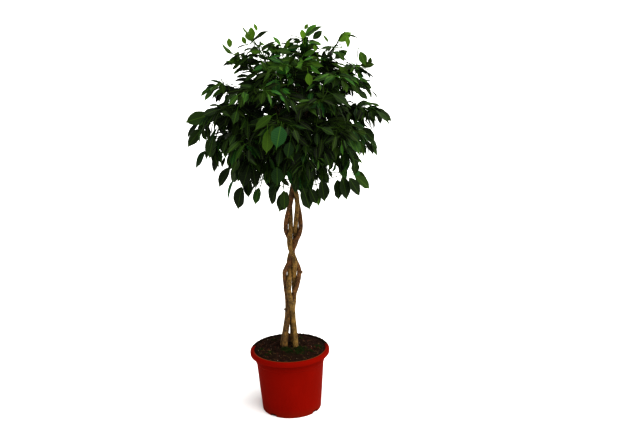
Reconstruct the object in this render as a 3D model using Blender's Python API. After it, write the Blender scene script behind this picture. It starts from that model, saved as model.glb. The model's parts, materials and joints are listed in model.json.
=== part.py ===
"""A potted weeping fig: four stems plaited into an open trunk, a round weeping head, soil and a nursery pot.

Metres, +Z up, +X to the viewer's right, the front is -Y. The origin is the middle of the pot's underside.
"""

import math
import random

import bmesh
import bpy
import numpy as np
from mathutils import Matrix, Vector
from mathutils.bvhtree import BVHTree

MM = 0.001
GAP = 0.3 * MM  # between two pieces that touch on the real plant
UP = Vector((0, 0, 1))
SEED = 5
SHARP_ANGLE = math.radians(62)  # a six-sided stem still shades round

# Pot: a 24 cm nursery pot
POT_SIDES = 28
POT_HEIGHT = 190 * MM
RIM_RADIUS = 120 * MM
RIM_DEPTH = 15 * MM
RIM_WIDTH = 12 * MM
RIM_ROUND = 7 * MM  # the lip is rolled over outwards
RIM_STEPS = 2
COLLAR_DEPTH = 24 * MM
COLLAR_STEP = 3 * MM
SHOULDER_RADIUS = 101.5 * MM  # the plain wall's top, under the collar
FOOT_RADIUS = 89 * MM
FOOT_ROUND = 2 * MM
WALL = 2 * MM
FLOOR = 3 * MM
NOTCH_SIZE = Vector((22 * MM, 14 * MM, 8 * MM))  # round the foot, inward and up
NOTCH_ANGLES = (53, 143, 233, 323)

# Soil
SOIL_RINGS = 4
SOIL_EDGE = 187.5 * MM
SOIL_CROWN = 198 * MM
SOIL_WAVE = 2.2 * MM
SOIL_WAVES = ((95, 110, 1.0), (210, 160, 0.6))  # radians a metre across and deep, and share of the height
HOLE_RISE = 50 * MM  # how far the tools that cut the holes stand out of the soil
HOLE_SLACK = GAP / math.cos(math.pi / 6)  # a six-sided stem keeps the gap along its flats

# Plaited trunk: height, across and deep, in millimetres, of each stem's lower course
LOWER_COURSE = {
    "a": ((100, -20, -18), (140, -18, -16), (178, -16, -14), (212, -15, -12.5), (247, -12.5, -10),
          (285, -8, -6.5), (310, -5, -4.6), (335, 0, -3.0), (360, 7, -5.8), (390, 16.3, -6.6)),
    "b": ((100, 26, -20), (140, 22, -18), (178, 18, -15), (212, 16, -13.5), (247, 12.5, -11),
          (285, 8, -11), (310, 6, -16), (335, 1.5, -18.6), (360, -4.5, -17.4), (390, -8.8, -11.6)),
    "c": ((100, -32, 20), (140, -28, 16), (178, -23.5, 11), (212, -20, 9.5), (247, -15.5, 8),
          (285, -11.5, 8.3), (310, -10.6, 9.3), (335, -11.2, 8.2), (360, -14, 6), (390, -18, 3.5)),
    "d": ((100, 16, 24), (140, 13, 20), (178, 10, 15), (212, 8.5, 13), (247, 6.0, 11.5),
          (285, 4.0, 12.2), (310, 5.5, 12.0), (335, 7.4, 11.4), (360, 8.2, 10.6), (390, 7.3, 9.0)),
}
# Above it two stems wind one way and two the other: height in mm, turn in degrees, distance from the
# trunk's axis in mm, and how far in mm a stem swings in and out to pass under and over the others
WINDING = ((425, 90, 14.5, 7.3), (491, 180, 14.5, 7.3), (565, 270, 14.5, 7.3), (640, 318, 14.8, 7.2),
           (700, 360, 15.2, 7.0), (745, 390, 24, 5), (800, 405, 38, 0), (860, 408, 52, 0),
           (930, 405, 61, 0), (1000, 402, 64, 0))
WINDING_END = 745  # height in mm where the plait opens
WINDING_KEY_SPACING = 16
CURVE_STEPS = 12  # between two keys of a stem's centre line
WINDING_WAY = {"a": 1, "b": -1, "c": 1, "d": -1}
WINDING_START = {"a": 0, "b": 0, "c": 180, "d": 180}
# Height and radius of a stem, in mm
STEM_GIRTH = ((100, 8.8), (178, 8.2), (247, 7.5), (300, 7.05), (360, 6.9), (425, 6.6), (491, 6.5),
              (565, 6.6), (640, 6.4), (700, 6.0), (800, 4.8), (900, 3.5), (1000, 2.6))
# Heights in mm where a stem has a ring of corners, close together where it is plaited
STEM_RINGS = (*range(100, 290, 37), *range(300, 700, 16), *range(712, 1001, 36))
LEAN = 0.0624  # how far the trunk drifts to the right for each metre of height
LEAN_FOOT = 178 * MM  # where the trunk stands over the middle of the pot
LEAN_TOP = 660 * MM
# Stubs of cut branches: stem, height in mm, and the way they point in degrees from the front
KNOTS = (("a", 426, 95), ("c", 307, -80), ("d", 356, 150), ("b", 590, -160))
KNOT_LENGTH = 11 * MM
KNOT_RISE = 0.35
KNOT_RADII = (2.6 * MM, 2.0 * MM)

# Head
HEAD_CENTRE = Vector((0.030, 0.0, 0.878))
HEAD_RADII = Vector((0.222, 0.218, 0.192))
# Tips of the shoots that stand out of the head's outline: across, deep and height in mm
OUTLINE_TIPS = (
    (-64, -30, 1108), (74, 10, 1102), (164, 10, 1086), (-118, 10, 1064), (218, -20, 1026), (-218, -30, 890),
    (260, 10, 902), (-130, -50, 730), (212, -30, 740), (6, -128, 714), (96, -100, 712), (-168, 20, 980),
    (-208, -10, 806), (242, 20, 808), (-60, -60, 708), (10, 30, 1078),
)
SPREAD_DIRECTIONS = 34
SPREAD_APART = math.radians(19)
LOWEST_DIRECTION = -0.93
START_SHARE = 0.38  # of the way from the head's middle to a shoot's tip, where its leafy twig begins
START_LIFT = (12 * MM, 30 * MM)
TWIG_ARCH = (20 * MM, 35 * MM)
FORK_DROP = 0.62
FORK_HEIGHTS = (735 * MM, 985 * MM)
BRANCH_RADII = (3.0 * MM, 2.1 * MM)
BRANCH_SEGMENTS = 3
BRANCH_END = 8 * MM  # straight piece that meets the twig's flat end squarely
BRANCH_BEND = 0.4
TWIG_RADII = (2.0 * MM, 1.4 * MM)
TWIG_SEGMENTS = 4
WOOD_CLEARANCE = 1.2 * MM
WOOD_SAMPLES = 3 * MM  # distance between the places where clearance is tried
WOOD_SHIFT = 40 * MM
WOOD_TRIES = 40

# Leaves
LEAVES_PER_SHOOT = 8
LEAF_PLACES = (0.2, 0.98)  # shares of the twig's length where its first and its last leaf grow
PLACE_PLAY = 0.2  # of the distance between two leaves
LEAF_LENGTHS = (76 * MM, 58 * MM)  # at the shoot's base and at its tip
LENGTH_PLAY = 0.14
YOUNG_SHORTER = 0.25  # how much shorter a leaf is at the top of the head
LEAF_ARCH = 0.16
PETIOLE = 14 * MM
LEAF_SPREAD = math.radians(66)  # between a leaf's stalk and its twig
SPREAD_PLAY = 0.7
RISE_PLAY = 0.8
OUTWARD_PULL = 0.25
DROOP = (0.85, 0.25)  # at the lowest leaves and at the top of the head
DROOP_PLAY = 0.35
# Leaves face out from the head, up, and to the light that comes from the front
FACING_OUT = 0.7
FACING_RISE = 0.35
FACING_LIGHT = 0.75
FACING_PLAY = 0.65
# Sections of a blade: share of its length, half width as a share of it, thickness at the rib
BLADE_SECTIONS = ((0.17, 0.19, 1.6 * MM), (0.50, 0.245, 1.6 * MM), (0.80, 0.095, 1.2 * MM))
STALK_HALF_WIDTH = 0.75 * MM
STALK_THICKNESS = 1.5 * MM
RIB_ABOVE = 0.4  # share of a section's thickness that lies above its middle
SHARPEST_BEND = 0.35  # least cosine between a stalk and its blade
LEAF_CLEARANCE = 0.9 * MM
LEAF_TRIES = 30
LOOSENESS = (0.25, 1.0)  # share of the play that a leaf takes at its first try and at its last
SHORTER_FROM = 18  # try from which a leaf is shorter
TRY_SHORTER = 0.18


def clear_scene():
    for obj in list(bpy.data.objects):
        bpy.data.objects.remove(obj, do_unlink=True)


def finish_of(name, colour, roughness):
    finish = bpy.data.materials.new(name)
    finish.use_nodes = True
    shader = finish.node_tree.nodes["Principled BSDF"]
    shader.inputs["Base Color"].default_value = (*colour, 1.0)
    shader.inputs["Roughness"].default_value = roughness
    return finish


def add_object(name, mesh, finish):
    mesh.materials.clear()
    mesh.materials.append(finish)
    made = bpy.data.objects.new(name, mesh)
    bpy.context.scene.collection.objects.link(made)
    return made


def mesh_of(obj):
    """A new mesh of an object with its bevel or its modifiers applied."""
    bpy.context.view_layer.update()
    return bpy.data.meshes.new_from_object(obj.evaluated_get(bpy.context.evaluated_depsgraph_get()))


def welded(shape, name):
    """A mesh of the bmesh shape, with its doubled points joined and its faces turned out."""
    bmesh.ops.remove_doubles(shape, verts=shape.verts, dist=0.001 * MM)
    bmesh.ops.recalc_face_normals(shape, faces=shape.faces)
    mesh = bpy.data.meshes.new(name)
    shape.to_mesh(mesh)
    shape.free()
    return mesh


def turned(name, profile):
    """A closed solid turned about Z from a profile that begins and ends on the axis."""
    shape = bmesh.new()
    line = [shape.verts.new((r, 0, z)) for r, z in profile]
    edges = [shape.edges.new(pair) for pair in zip(line, line[1:])]
    bmesh.ops.spin(shape, geom=line + edges, axis=UP, angle=2 * math.pi, steps=POT_SIDES, use_merge=True)
    return welded(shape, name)


def tube(name, points, radii, resolution=0):
    """A tube along the points with flat ends, four-sided at resolution 0 and six-sided at 1."""
    curve = bpy.data.curves.new(name, "CURVE")
    curve.dimensions = "3D"
    curve.bevel_depth = 1.0
    curve.bevel_resolution = resolution
    curve.use_fill_caps = True
    spline = curve.splines.new("POLY")
    spline.points.add(len(points) - 1)
    for held, point, radius in zip(spline.points, points, radii):
        held.co = (*point, 1.0)
        held.radius = radius
    guide = bpy.data.objects.new(name, curve)
    bpy.context.scene.collection.objects.link(guide)
    shape = bmesh.new()
    shape.from_mesh(mesh_of(guide))
    bpy.data.objects.remove(guide, do_unlink=True)
    return welded(shape, name)


def combine(target, tools, operation):
    """Joins the tools to the target or cuts them from it, and removes them."""
    group = bpy.data.collections.new("tools")
    for tool in tools:
        bpy.context.scene.collection.objects.unlink(tool)
        group.objects.link(tool)
    boolean = target.modifiers.new("combine", "BOOLEAN")
    boolean.operation = operation
    boolean.operand_type = "COLLECTION"
    boolean.collection = group
    result = mesh_of(target)
    target.modifiers.clear()
    target.data = result
    for tool in tools:
        bpy.data.objects.remove(tool, do_unlink=True)
    bpy.data.collections.remove(group)


def wall_radius(z):
    """Outer radius of the pot's plain wall."""
    return FOOT_RADIUS + (SHOULDER_RADIUS - FOOT_RADIUS) * z / shoulder_height()


def shoulder_height():
    return POT_HEIGHT - RIM_DEPTH - COLLAR_DEPTH


def make_pot(finish):
    shoulder, rim_foot = shoulder_height(), POT_HEIGHT - RIM_DEPTH
    collar = SHOULDER_RADIUS + COLLAR_STEP
    outside = ((0, 0), (FOOT_RADIUS - FOOT_ROUND, 0), (wall_radius(FOOT_ROUND), FOOT_ROUND),
               (SHOULDER_RADIUS, shoulder), (collar, shoulder + COLLAR_STEP), (collar, rim_foot))
    turns = [math.pi / 2 * i / RIM_STEPS for i in range(RIM_STEPS + 1)]
    middle, height = RIM_RADIUS - RIM_ROUND, POT_HEIGHT - RIM_ROUND
    rolled = [(middle + RIM_ROUND * math.cos(t), height + RIM_ROUND * math.sin(t)) for t in turns]
    rim = ((RIM_RADIUS, rim_foot), *rolled, (RIM_RADIUS - RIM_WIDTH, POT_HEIGHT))
    inside = ((collar - WALL, rim_foot), (SHOULDER_RADIUS - WALL, shoulder),
              (wall_radius(FLOOR) - WALL, FLOOR), (0, FLOOR))
    pot = add_object("nursery_pot", turned("nursery_pot", outside + rim + inside), finish)
    notches = []
    for angle in NOTCH_ANGLES:
        shape = bmesh.new()
        place = Matrix.Rotation(math.radians(angle), 4, "Z") @ Matrix.Translation((0, -FOOT_RADIUS, 0))
        bmesh.ops.create_cube(shape, size=1, matrix=place @ Matrix.Diagonal((*NOTCH_SIZE, 1)))
        bmesh.ops.translate(shape, verts=shape.verts, vec=UP * (NOTCH_SIZE.z / 2 - GAP))
        notches.append(add_object("notch", welded(shape, "notch"), finish))
    combine(pot, notches, "DIFFERENCE")


def make_soil(finish, courses):
    """Potting soil that fills the pot, heaped over its rim, with a plain hole round each stem."""
    shoulder, rim_foot = shoulder_height(), POT_HEIGHT - RIM_DEPTH
    foot = FLOOR + GAP
    collar = SHOULDER_RADIUS + COLLAR_STEP - WALL - 2 * GAP
    edge = float(np.interp(SOIL_EDGE, (rim_foot, POT_HEIGHT), (collar, RIM_RADIUS - RIM_WIDTH - 2 * GAP)))
    shares = [i / SOIL_RINGS for i in range(SOIL_RINGS + 1)]
    top = [(edge * s, SOIL_EDGE + (SOIL_CROWN - SOIL_EDGE) * (1 - s * s)) for s in shares]
    inside = ((collar, rim_foot), (SHOULDER_RADIUS - WALL - 2 * GAP, shoulder),
              (wall_radius(foot) - WALL - 2 * GAP, foot), (0, foot))
    mesh = turned("potting_soil", (*top, *inside))
    for vert in mesh.vertices:
        x, y, z = vert.co
        share = math.hypot(x, y) / edge
        wave = sum(math.sin(u * x + 1) * math.cos(v * y) * high for u, v, high in SOIL_WAVES)
        if z > rim_foot + GAP:
            vert.co.z += wave * SOIL_WAVE * (1 - share**4)
    soil = add_object("potting_soil", mesh, finish)
    holes = []
    for course in courses.values():
        buried = [p for p in course if p.z < SOIL_CROWN + HOLE_RISE]
        start = buried[0] - (buried[1] - buried[0]).normalized() * GAP
        points = [start, *buried]
        radii = [stem_radius(p.z) + HOLE_SLACK for p in points]
        holes.append(add_object("hole", tube("hole", points, radii, 1), finish))
    combine(soil, holes, "DIFFERENCE")


def smooth_rise(keys, heights):
    """Points at the given heights on a smooth curve that rises through the keys."""
    keys = [Vector(k) for k in keys]
    held = [2 * keys[0] - keys[1], *keys, 2 * keys[-1] - keys[-2]]
    fine = []
    for p0, p1, p2, p3 in zip(held, held[1:], held[2:], held[3:]):
        for t in (i / CURVE_STEPS for i in range(CURVE_STEPS)):
            bend = (2 * p0 - 5 * p1 + 4 * p2 - p3) * t * t + (3 * p1 - p0 - 3 * p2 + p3) * t**3
            fine.append(0.5 * (2 * p1 + (p2 - p0) * t + bend))
    fine.append(keys[-1])
    xs, ys, zs = zip(*fine)
    return [Vector((np.interp(z, zs, xs), np.interp(z, zs, ys), z)) for z in heights]


def trunk_axis(z):
    return Vector((LEAN * (min(z, LEAN_TOP) - LEAN_FOOT), 0, z))


def stem_keys(name):
    """Points that a stem's centre line runs through, from its root to its top in the head."""
    for z, across, deep in LOWER_COURSE[name]:
        yield trunk_axis(z * MM) + Vector((across, deep, 0)) * MM
    heights, turns, outs, swings = zip(*WINDING)
    opened = [z for z in heights if z >= WINDING_END]
    levels = (*range(heights[0], WINDING_END, WINDING_KEY_SPACING), *opened)
    way = WINDING_WAY[name]
    for z in levels:
        turn = math.radians(way * np.interp(z, heights, turns) + WINDING_START[name])
        swing = way * np.interp(z, heights, swings) * math.cos(2 * turn)
        out = (np.interp(z, heights, outs) - swing) * MM
        yield trunk_axis(z * MM) + Vector((math.sin(turn), -math.cos(turn), 0)) * out


def stem_radius(z):
    heights, radii = zip(*STEM_GIRTH)
    return float(np.interp(z / MM, heights, radii)) * MM


class Wood:
    """Centre lines and radii of all the wood so far, so that a new branch or twig can be led clear of it."""

    def __init__(self):
        self.points, self.radii, self.owners = [], [], []

    @staticmethod
    def sampled(points, radii):
        for (a, b), (r, s) in zip(zip(points, points[1:]), zip(radii, radii[1:])):
            steps = max(1, round((b - a).length / WOOD_SAMPLES))
            for t in (i / steps for i in range(steps)):
                yield tuple(a.lerp(b, t)), r + (s - r) * t
        yield tuple(points[-1]), radii[-1]

    def add(self, owner, points, radii):
        for point, radius in self.sampled(points, radii):
            self.points.append(point)
            self.radii.append(radius)
            self.owners.append(owner)

    def clear(self, owner, points, radii):
        """True if the run keeps clear of all wood that isn't its owner's."""
        others = np.array([held != owner for held in self.owners])
        held, held_radii = np.array(self.points)[others], np.array(self.radii)[others]
        for point, radius in self.sampled(points, radii):
            if np.any(np.linalg.norm(held - point, axis=1) < held_radii + radius + WOOD_CLEARANCE):
                return False
        return True


def eased(ends, count):
    """Values from the first end to the last, for count segments."""
    return [ends[0] + (ends[1] - ends[0]) * i / count for i in range(count + 1)]


def arc(start, middle, end, count):
    """Points of a bent run from start to end, drawn towards middle."""
    shares = [i / count for i in range(count + 1)]
    return [start * (1 - t) ** 2 + middle * 2 * t * (1 - t) + end * t * t for t in shares]


def head_direction(point):
    away = point - HEAD_CENTRE
    return Vector([a / r for a, r in zip(away, HEAD_RADII)])


def shoot_tips():
    """Where the shoots end: those of the outline, then an even spread between them by the golden angle."""
    tips = [Vector(tip) * MM for tip in OUTLINE_TIPS]
    taken = [head_direction(tip) for tip in tips]
    golden = math.pi * (3 - math.sqrt(5))
    for i in range(SPREAD_DIRECTIONS):
        z = 1 - 2 * (i + 0.5) / SPREAD_DIRECTIONS
        flat = math.sqrt(1 - z * z)
        way = Vector((flat * math.cos(golden * i), flat * math.sin(golden * i), z))
        if z > LOWEST_DIRECTION and all(way.angle(other) > SPREAD_APART for other in taken):
            tips.append(HEAD_CENTRE + Vector([a * r for a, r in zip(way, HEAD_RADII)]))
    return tips


def random_vector(draw, size):
    return Vector([draw.uniform(-size, size) for _ in range(3)])


class Shoot:
    """A bare branch that grows from a stem, and the leafy twig that it ends in."""

    def __init__(self, number, tip):
        self.number = number
        self.tip = tip

    def grow(self, courses, wood):
        """Leads the branch and the twig to the tip, clear of other wood, from the stem of their quarter."""
        draw = random.Random(SEED * 100 + self.number)
        low = max(0.0, -head_direction(self.tip).z)
        for attempt in range(WOOD_TRIES):
            shift = random_vector(draw, WOOD_SHIFT) * attempt / WOOD_TRIES
            lift = UP * (START_LIFT[0] + START_LIFT[1] * low)
            start = HEAD_CENTRE.lerp(self.tip, START_SHARE) + lift + shift
            self.stem = self.quarter(start)
            middle = (start + self.tip) / 2 + UP * (TWIG_ARCH[0] + TWIG_ARCH[1] * low)
            self.twig = arc(start, middle, self.tip, TWIG_SEGMENTS)
            self.branch = self.branch_to(start, courses[self.stem])
            branch_clear = wood.clear(self.stem, self.branch, eased(BRANCH_RADII, BRANCH_SEGMENTS))
            if branch_clear and wood.clear(None, self.twig, eased(TWIG_RADII, TWIG_SEGMENTS)):
                break
        else:
            raise RuntimeError(f"no clear way for shoot {self.number}")
        wood.add(self.stem, self.branch, eased(BRANCH_RADII, BRANCH_SEGMENTS))
        wood.add(self.number, self.twig, eased(TWIG_RADII, TWIG_SEGMENTS))

    @staticmethod
    def quarter(point):
        """The stem whose quarter of the head holds the point."""
        right, back = point.x > HEAD_CENTRE.x, point.y > HEAD_CENTRE.y
        return {(True, False): "a", (False, False): "b", (False, True): "c", (True, True): "d"}[right, back]

    def branch_to(self, start, course):
        """Points of the branch, whose last, straight piece runs square to the twig's flat end."""
        reach = (start - HEAD_CENTRE).xy.length
        height = min(max(start.z - FORK_DROP * reach, FORK_HEIGHTS[0]), FORK_HEIGHTS[1])
        fork = min(course, key=lambda p: abs(p.z - height))
        heading = (self.twig[1] - self.twig[0]).normalized()
        end = start - heading * GAP
        knee = end - heading * BRANCH_END
        bend = knee - heading * (knee - fork).length * BRANCH_BEND
        return [*arc(fork, bend, knee, BRANCH_SEGMENTS - 1), end]

    def at(self, share):
        """Point and direction on the twig at a share of its length."""
        place = share * TWIG_SEGMENTS
        i = min(int(place), TWIG_SEGMENTS - 1)
        a, b = self.twig[i], self.twig[i + 1]
        return a.lerp(b, place - i), (b - a).normalized()


def make_stem(name, course, shoots, finish):
    """One plant's wood: its stem, its cut stubs and the bare branches of its shoots."""
    radii = [stem_radius(p.z) for p in course]
    stem = add_object("stem_" + name, tube(name, course, radii, 1), finish)
    grown = []
    for shoot in shoots:
        if shoot.stem == name:
            mesh = tube("branch", shoot.branch, eased(BRANCH_RADII, BRANCH_SEGMENTS))
            grown.append(add_object("branch", mesh, finish))
    for owner, height, angle in KNOTS:
        if owner == name:
            root = min(course, key=lambda p: abs(p.z - height * MM))
            turn = math.radians(angle)
            way = Vector((math.sin(turn), -math.cos(turn), KNOT_RISE)).normalized()
            mesh = tube("knot", (root, root + way * KNOT_LENGTH), KNOT_RADII)
            grown.append(add_object("knot", mesh, finish))
    combine(stem, grown, "UNION")
    return stem


def across(vector, direction):
    """The part of a vector that runs square to a direction, at length 1."""
    return (vector - direction * vector.dot(direction)).normalized()


class Leaf:
    """A pose and a length, and the solid they give: a pointed blade, arched along its rib, on its stalk."""

    def __init__(self, root, heading, droop, facing, length):
        self.root = root
        self.heading = heading
        self.neck = root + heading * PETIOLE
        self.along = (heading - UP * droop).normalized()
        self.normal = across(facing, self.along)
        self.length = length
        self.sound = heading.dot(self.along) > SHARPEST_BEND

    def on_rib(self, share):
        return self.neck + (self.along * share - self.normal * LEAF_ARCH * share * share) * self.length

    def sections(self, corners, extra):
        """Corners of each section, from the stalk's root to the blade's last. The neck's is mitred."""
        normal = self.along.rotation_difference(self.heading) @ self.normal
        side = normal.cross(self.heading) * (STALK_HALF_WIDTH + extra)
        stalk = corners(side, normal, STALK_THICKNESS, extra)
        mitre = self.heading + self.along
        mitre /= self.heading.dot(mitre)
        yield [self.root + corner for corner in stalk]
        yield [self.neck + corner - self.heading * corner.dot(mitre) for corner in stalk]
        for share, half, thick in BLADE_SECTIONS:
            side = self.normal.cross(self.along) * (half * self.length + extra)
            yield [self.on_rib(share) + corner for corner in corners(side, self.normal, thick, extra)]

    def solid(self):
        """Points and faces. Each section is a flat triangle: two edges of the blade, and the rib below."""
        def triangle(side, normal, thick, extra):
            return (normal * RIB_ABOVE * thick - side, normal * RIB_ABOVE * thick + side,
                    normal * (RIB_ABOVE - 1) * thick)

        points = [point for section in self.sections(triangle, 0) for point in section]
        faces = [(0, 2, 1), (0, 1, 4, 3), (0, 3, 5, 2), (1, 2, 5, 4)]
        last = len(points) - 3
        for k in range(3, last, 3):
            left, right, rib = k, k + 1, k + 2
            faces += [(left, right, right + 3), (left, right + 3, left + 3)]
            faces += [(left, left + 3, rib + 3), (left, rib + 3, rib)]
            faces += [(right, rib, rib + 3), (right, rib + 3, right + 3)]
        tip = len(points)
        points.append(self.on_rib(1.0))
        faces += [(last, last + 1, tip), (last, tip, last + 2), (last + 1, last + 2, tip)]
        return points, faces

    def envelope(self, with_stalk):
        """Points and faces of a box round each section with the leaf's clearance, for tests."""
        def box(side, normal, thick, extra):
            above = normal * (RIB_ABOVE * thick + extra)
            below = normal * ((RIB_ABOVE - 1) * thick - extra)
            return above - side, above + side, below + side, below - side

        sections = list(self.sections(box, LEAF_CLEARANCE))
        tip = self.on_rib(1.0)
        end = box(self.normal.cross(self.along) * LEAF_CLEARANCE, self.normal, 0, LEAF_CLEARANCE)
        sections.append([tip + self.along * LEAF_CLEARANCE + corner for corner in end])
        points = [point for section in sections[0 if with_stalk else 1:] for point in section]
        faces = [(3, 2, 1, 0), tuple(range(len(points) - 4, len(points)))]
        for k in range(0, len(points) - 4, 4):
            faces += [(k + i, k + (i + 1) % 4, k + 4 + (i + 1) % 4, k + 4 + i) for i in range(4)]
        return points, faces


class Foliage:
    """Surfaces already in the head, so that a new leaf can be turned until it is clear of them."""

    def __init__(self):
        self.held = []

    @staticmethod
    def measured(solid):
        """A search tree of the solid's surface, its middle and how far it reaches."""
        points, faces = solid
        middle = sum(points, Vector()) / len(points)
        reach = max((p - middle).length for p in points)
        return BVHTree.FromPolygons([tuple(p) for p in points], faces), middle, reach

    def add(self, owner, solid):
        self.held.append((owner, *self.measured(solid)))

    def add_mesh(self, owner, mesh):
        self.add(owner, ([v.co.copy() for v in mesh.vertices], [tuple(f.vertices) for f in mesh.polygons]))

    def clear(self, shoot, leaf):
        """True if the leaf crosses nothing, apart from its stalk in its own shoot's twig."""
        whole, middle, reach = self.measured(leaf.envelope(with_stalk=True))
        blade = self.measured(leaf.envelope(with_stalk=False))[0]
        for owner, held, spot, size in self.held:
            if (spot - middle).length < reach + size and (blade if owner == shoot else whole).overlap(held):
                return False
        return True


def leaf_slots(draw):
    """Place on the twig, side of it and length of each leaf. The last one ends the twig."""
    first, end = LEAF_PLACES
    last = LEAVES_PER_SHOOT - 1
    for i in range(last + 1):
        share = first + (end - first) * (i + draw.uniform(-PLACE_PLAY, PLACE_PLAY)) / last
        length = LEAF_LENGTHS[0] + (LEAF_LENGTHS[1] - LEAF_LENGTHS[0]) * min(share, 1) ** 2
        length *= 1 + draw.uniform(-LENGTH_PLAY, LENGTH_PLAY)
        yield (end, 0, length) if i == last else (share, (1, -1)[i % 2], length)


def posed_leaf(shoot, share, side, length, draw, attempt):
    """A leaf that hangs out from its twig. Later tries turn it further from where it would rather be."""
    root, along = shoot.at(share)
    outward = (root - HEAD_CENTRE).normalized()
    sideways = along.cross(UP).normalized()
    loose = LOOSENESS[0] + (LOOSENESS[1] - LOOSENESS[0]) * attempt / LEAF_TRIES
    spread = LEAF_SPREAD * side + draw.uniform(-SPREAD_PLAY, SPREAD_PLAY) * loose
    rise = along.cross(sideways) * draw.uniform(-RISE_PLAY, RISE_PLAY) * loose
    heading = along * math.cos(spread) + sideways * math.sin(spread) + outward * OUTWARD_PULL + rise
    height = 0.5 + 0.5 * head_direction(root).z
    droop = DROOP[0] + (DROOP[1] - DROOP[0]) * height + draw.uniform(-DROOP_PLAY, DROOP_PLAY)
    facing = Vector((outward.x * FACING_OUT, outward.y * FACING_OUT - FACING_LIGHT, FACING_RISE))
    facing += random_vector(draw, FACING_PLAY)
    length *= 1 - YOUNG_SHORTER * max(0.0, head_direction(root).z)
    if attempt >= SHORTER_FROM:
        length *= 1 - TRY_SHORTER
    return Leaf(root, heading.normalized(), droop, facing, length)


def grow_leaves(shoot, foliage):
    """The leaves of a shoot, each turned until it crosses no other leaf, twig or branch."""
    draw = random.Random(SEED * 1000 + shoot.number)
    leaves = []
    for share, side, length in leaf_slots(draw):
        for attempt in range(LEAF_TRIES):
            leaf = posed_leaf(shoot, share, side, length, draw, attempt)
            if leaf.sound and foliage.clear(shoot.number, leaf):
                foliage.add("leaves", leaf.solid())
                leaves.append(leaf)
                break
    return leaves


def leaf_object(leaf, finish):
    mesh = bpy.data.meshes.new("leaf")
    points, faces = leaf.solid()
    mesh.from_pydata([tuple(p) for p in points], [], faces)
    return add_object("leaf", mesh, finish)


def build():
    clear_scene()
    plastic = finish_of("red_polypropylene", (0.42, 0.016, 0.005), 0.5)
    earth = finish_of("potting_mix", (0.022, 0.014, 0.010), 0.95)
    bark = finish_of("young_fig_bark", (0.16, 0.085, 0.030), 0.8)
    greenery = finish_of("fig_leaf", (0.012, 0.060, 0.010), 0.35)

    rings = [z * MM for z in STEM_RINGS]
    courses = {name: smooth_rise(stem_keys(name), rings) for name in LOWER_COURSE}
    make_pot(plastic)
    make_soil(earth, courses)

    wood = Wood()
    for name, course in courses.items():
        wood.add(name, course, [stem_radius(p.z) for p in course])
    shoots = [Shoot(i + 1, tip) for i, tip in enumerate(shoot_tips())]
    for shoot in shoots:
        shoot.grow(courses, wood)

    foliage = Foliage()
    for name, course in courses.items():
        foliage.add_mesh(name, make_stem(name, course, shoots, bark).data)
    twigs = {}
    for shoot in shoots:
        twigs[shoot.number] = tube("twig", shoot.twig, eased(TWIG_RADII, TWIG_SEGMENTS))
        foliage.add_mesh(shoot.number, twigs[shoot.number])
    for shoot in shoots:
        spray = add_object(f"leaf_spray_{shoot.number:02d}", twigs[shoot.number], greenery)
        combine(spray, [leaf_object(leaf, greenery) for leaf in grow_leaves(shoot, foliage)], "UNION")

    for made in bpy.data.objects:
        made.data.shade_smooth()
        made.data.set_sharp_from_angle(angle=SHARP_ANGLE)


build()
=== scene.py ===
"""A potted weeping fig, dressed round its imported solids: bark, leaves, soil and pot, on a pale floor.

Metres, +Z up, +X to the viewer's right, the front is -Y. The origin is the middle of the pot's underside.
"""

import functools
import json
import math
import random

import bmesh
import bpy
import numpy as np
from bpy.props import FloatProperty, FloatVectorProperty, IntProperty, PointerProperty
from mathutils import Matrix, Vector, noise
from mathutils.bvhtree import BVHTree

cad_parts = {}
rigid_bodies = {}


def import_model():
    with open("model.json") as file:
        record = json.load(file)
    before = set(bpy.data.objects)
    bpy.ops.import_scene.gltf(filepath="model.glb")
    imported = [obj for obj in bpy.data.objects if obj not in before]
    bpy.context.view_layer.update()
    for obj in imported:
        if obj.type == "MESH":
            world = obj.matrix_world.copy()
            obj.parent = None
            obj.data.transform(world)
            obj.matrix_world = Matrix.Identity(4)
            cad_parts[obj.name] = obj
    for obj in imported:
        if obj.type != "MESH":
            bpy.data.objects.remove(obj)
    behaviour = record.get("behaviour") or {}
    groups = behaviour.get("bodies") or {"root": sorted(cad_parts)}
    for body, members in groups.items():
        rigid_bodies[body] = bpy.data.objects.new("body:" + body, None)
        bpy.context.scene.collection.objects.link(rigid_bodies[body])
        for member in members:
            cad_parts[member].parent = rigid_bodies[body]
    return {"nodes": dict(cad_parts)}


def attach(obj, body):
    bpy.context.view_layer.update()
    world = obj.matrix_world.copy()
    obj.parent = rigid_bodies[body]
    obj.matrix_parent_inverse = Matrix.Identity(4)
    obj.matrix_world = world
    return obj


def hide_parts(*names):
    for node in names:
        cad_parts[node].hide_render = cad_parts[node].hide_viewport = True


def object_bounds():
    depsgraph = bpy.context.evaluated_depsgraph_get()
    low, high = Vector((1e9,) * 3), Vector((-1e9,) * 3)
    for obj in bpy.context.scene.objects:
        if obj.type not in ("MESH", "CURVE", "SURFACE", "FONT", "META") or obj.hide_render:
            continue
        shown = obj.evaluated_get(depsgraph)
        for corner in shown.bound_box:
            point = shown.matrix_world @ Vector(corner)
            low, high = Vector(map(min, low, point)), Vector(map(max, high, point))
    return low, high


bl_info = {
    "name": "Potted weeping fig",
    "version": (1, 0, 0),
    "blender": (4, 5, 0),
    "location": "View3D > Sidebar > Plant",
    "description": "Pot, soil, plaited trunk and leaves of a weeping fig",
    "category": "Object",
}

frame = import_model()
CAD_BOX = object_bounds()

MM = 0.001
GAP = 0.3 * MM
UP = Vector((0, 0, 1))
SEED = 5
SHARP_ANGLE = math.radians(50)
ROUND_STEPS = 6

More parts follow.
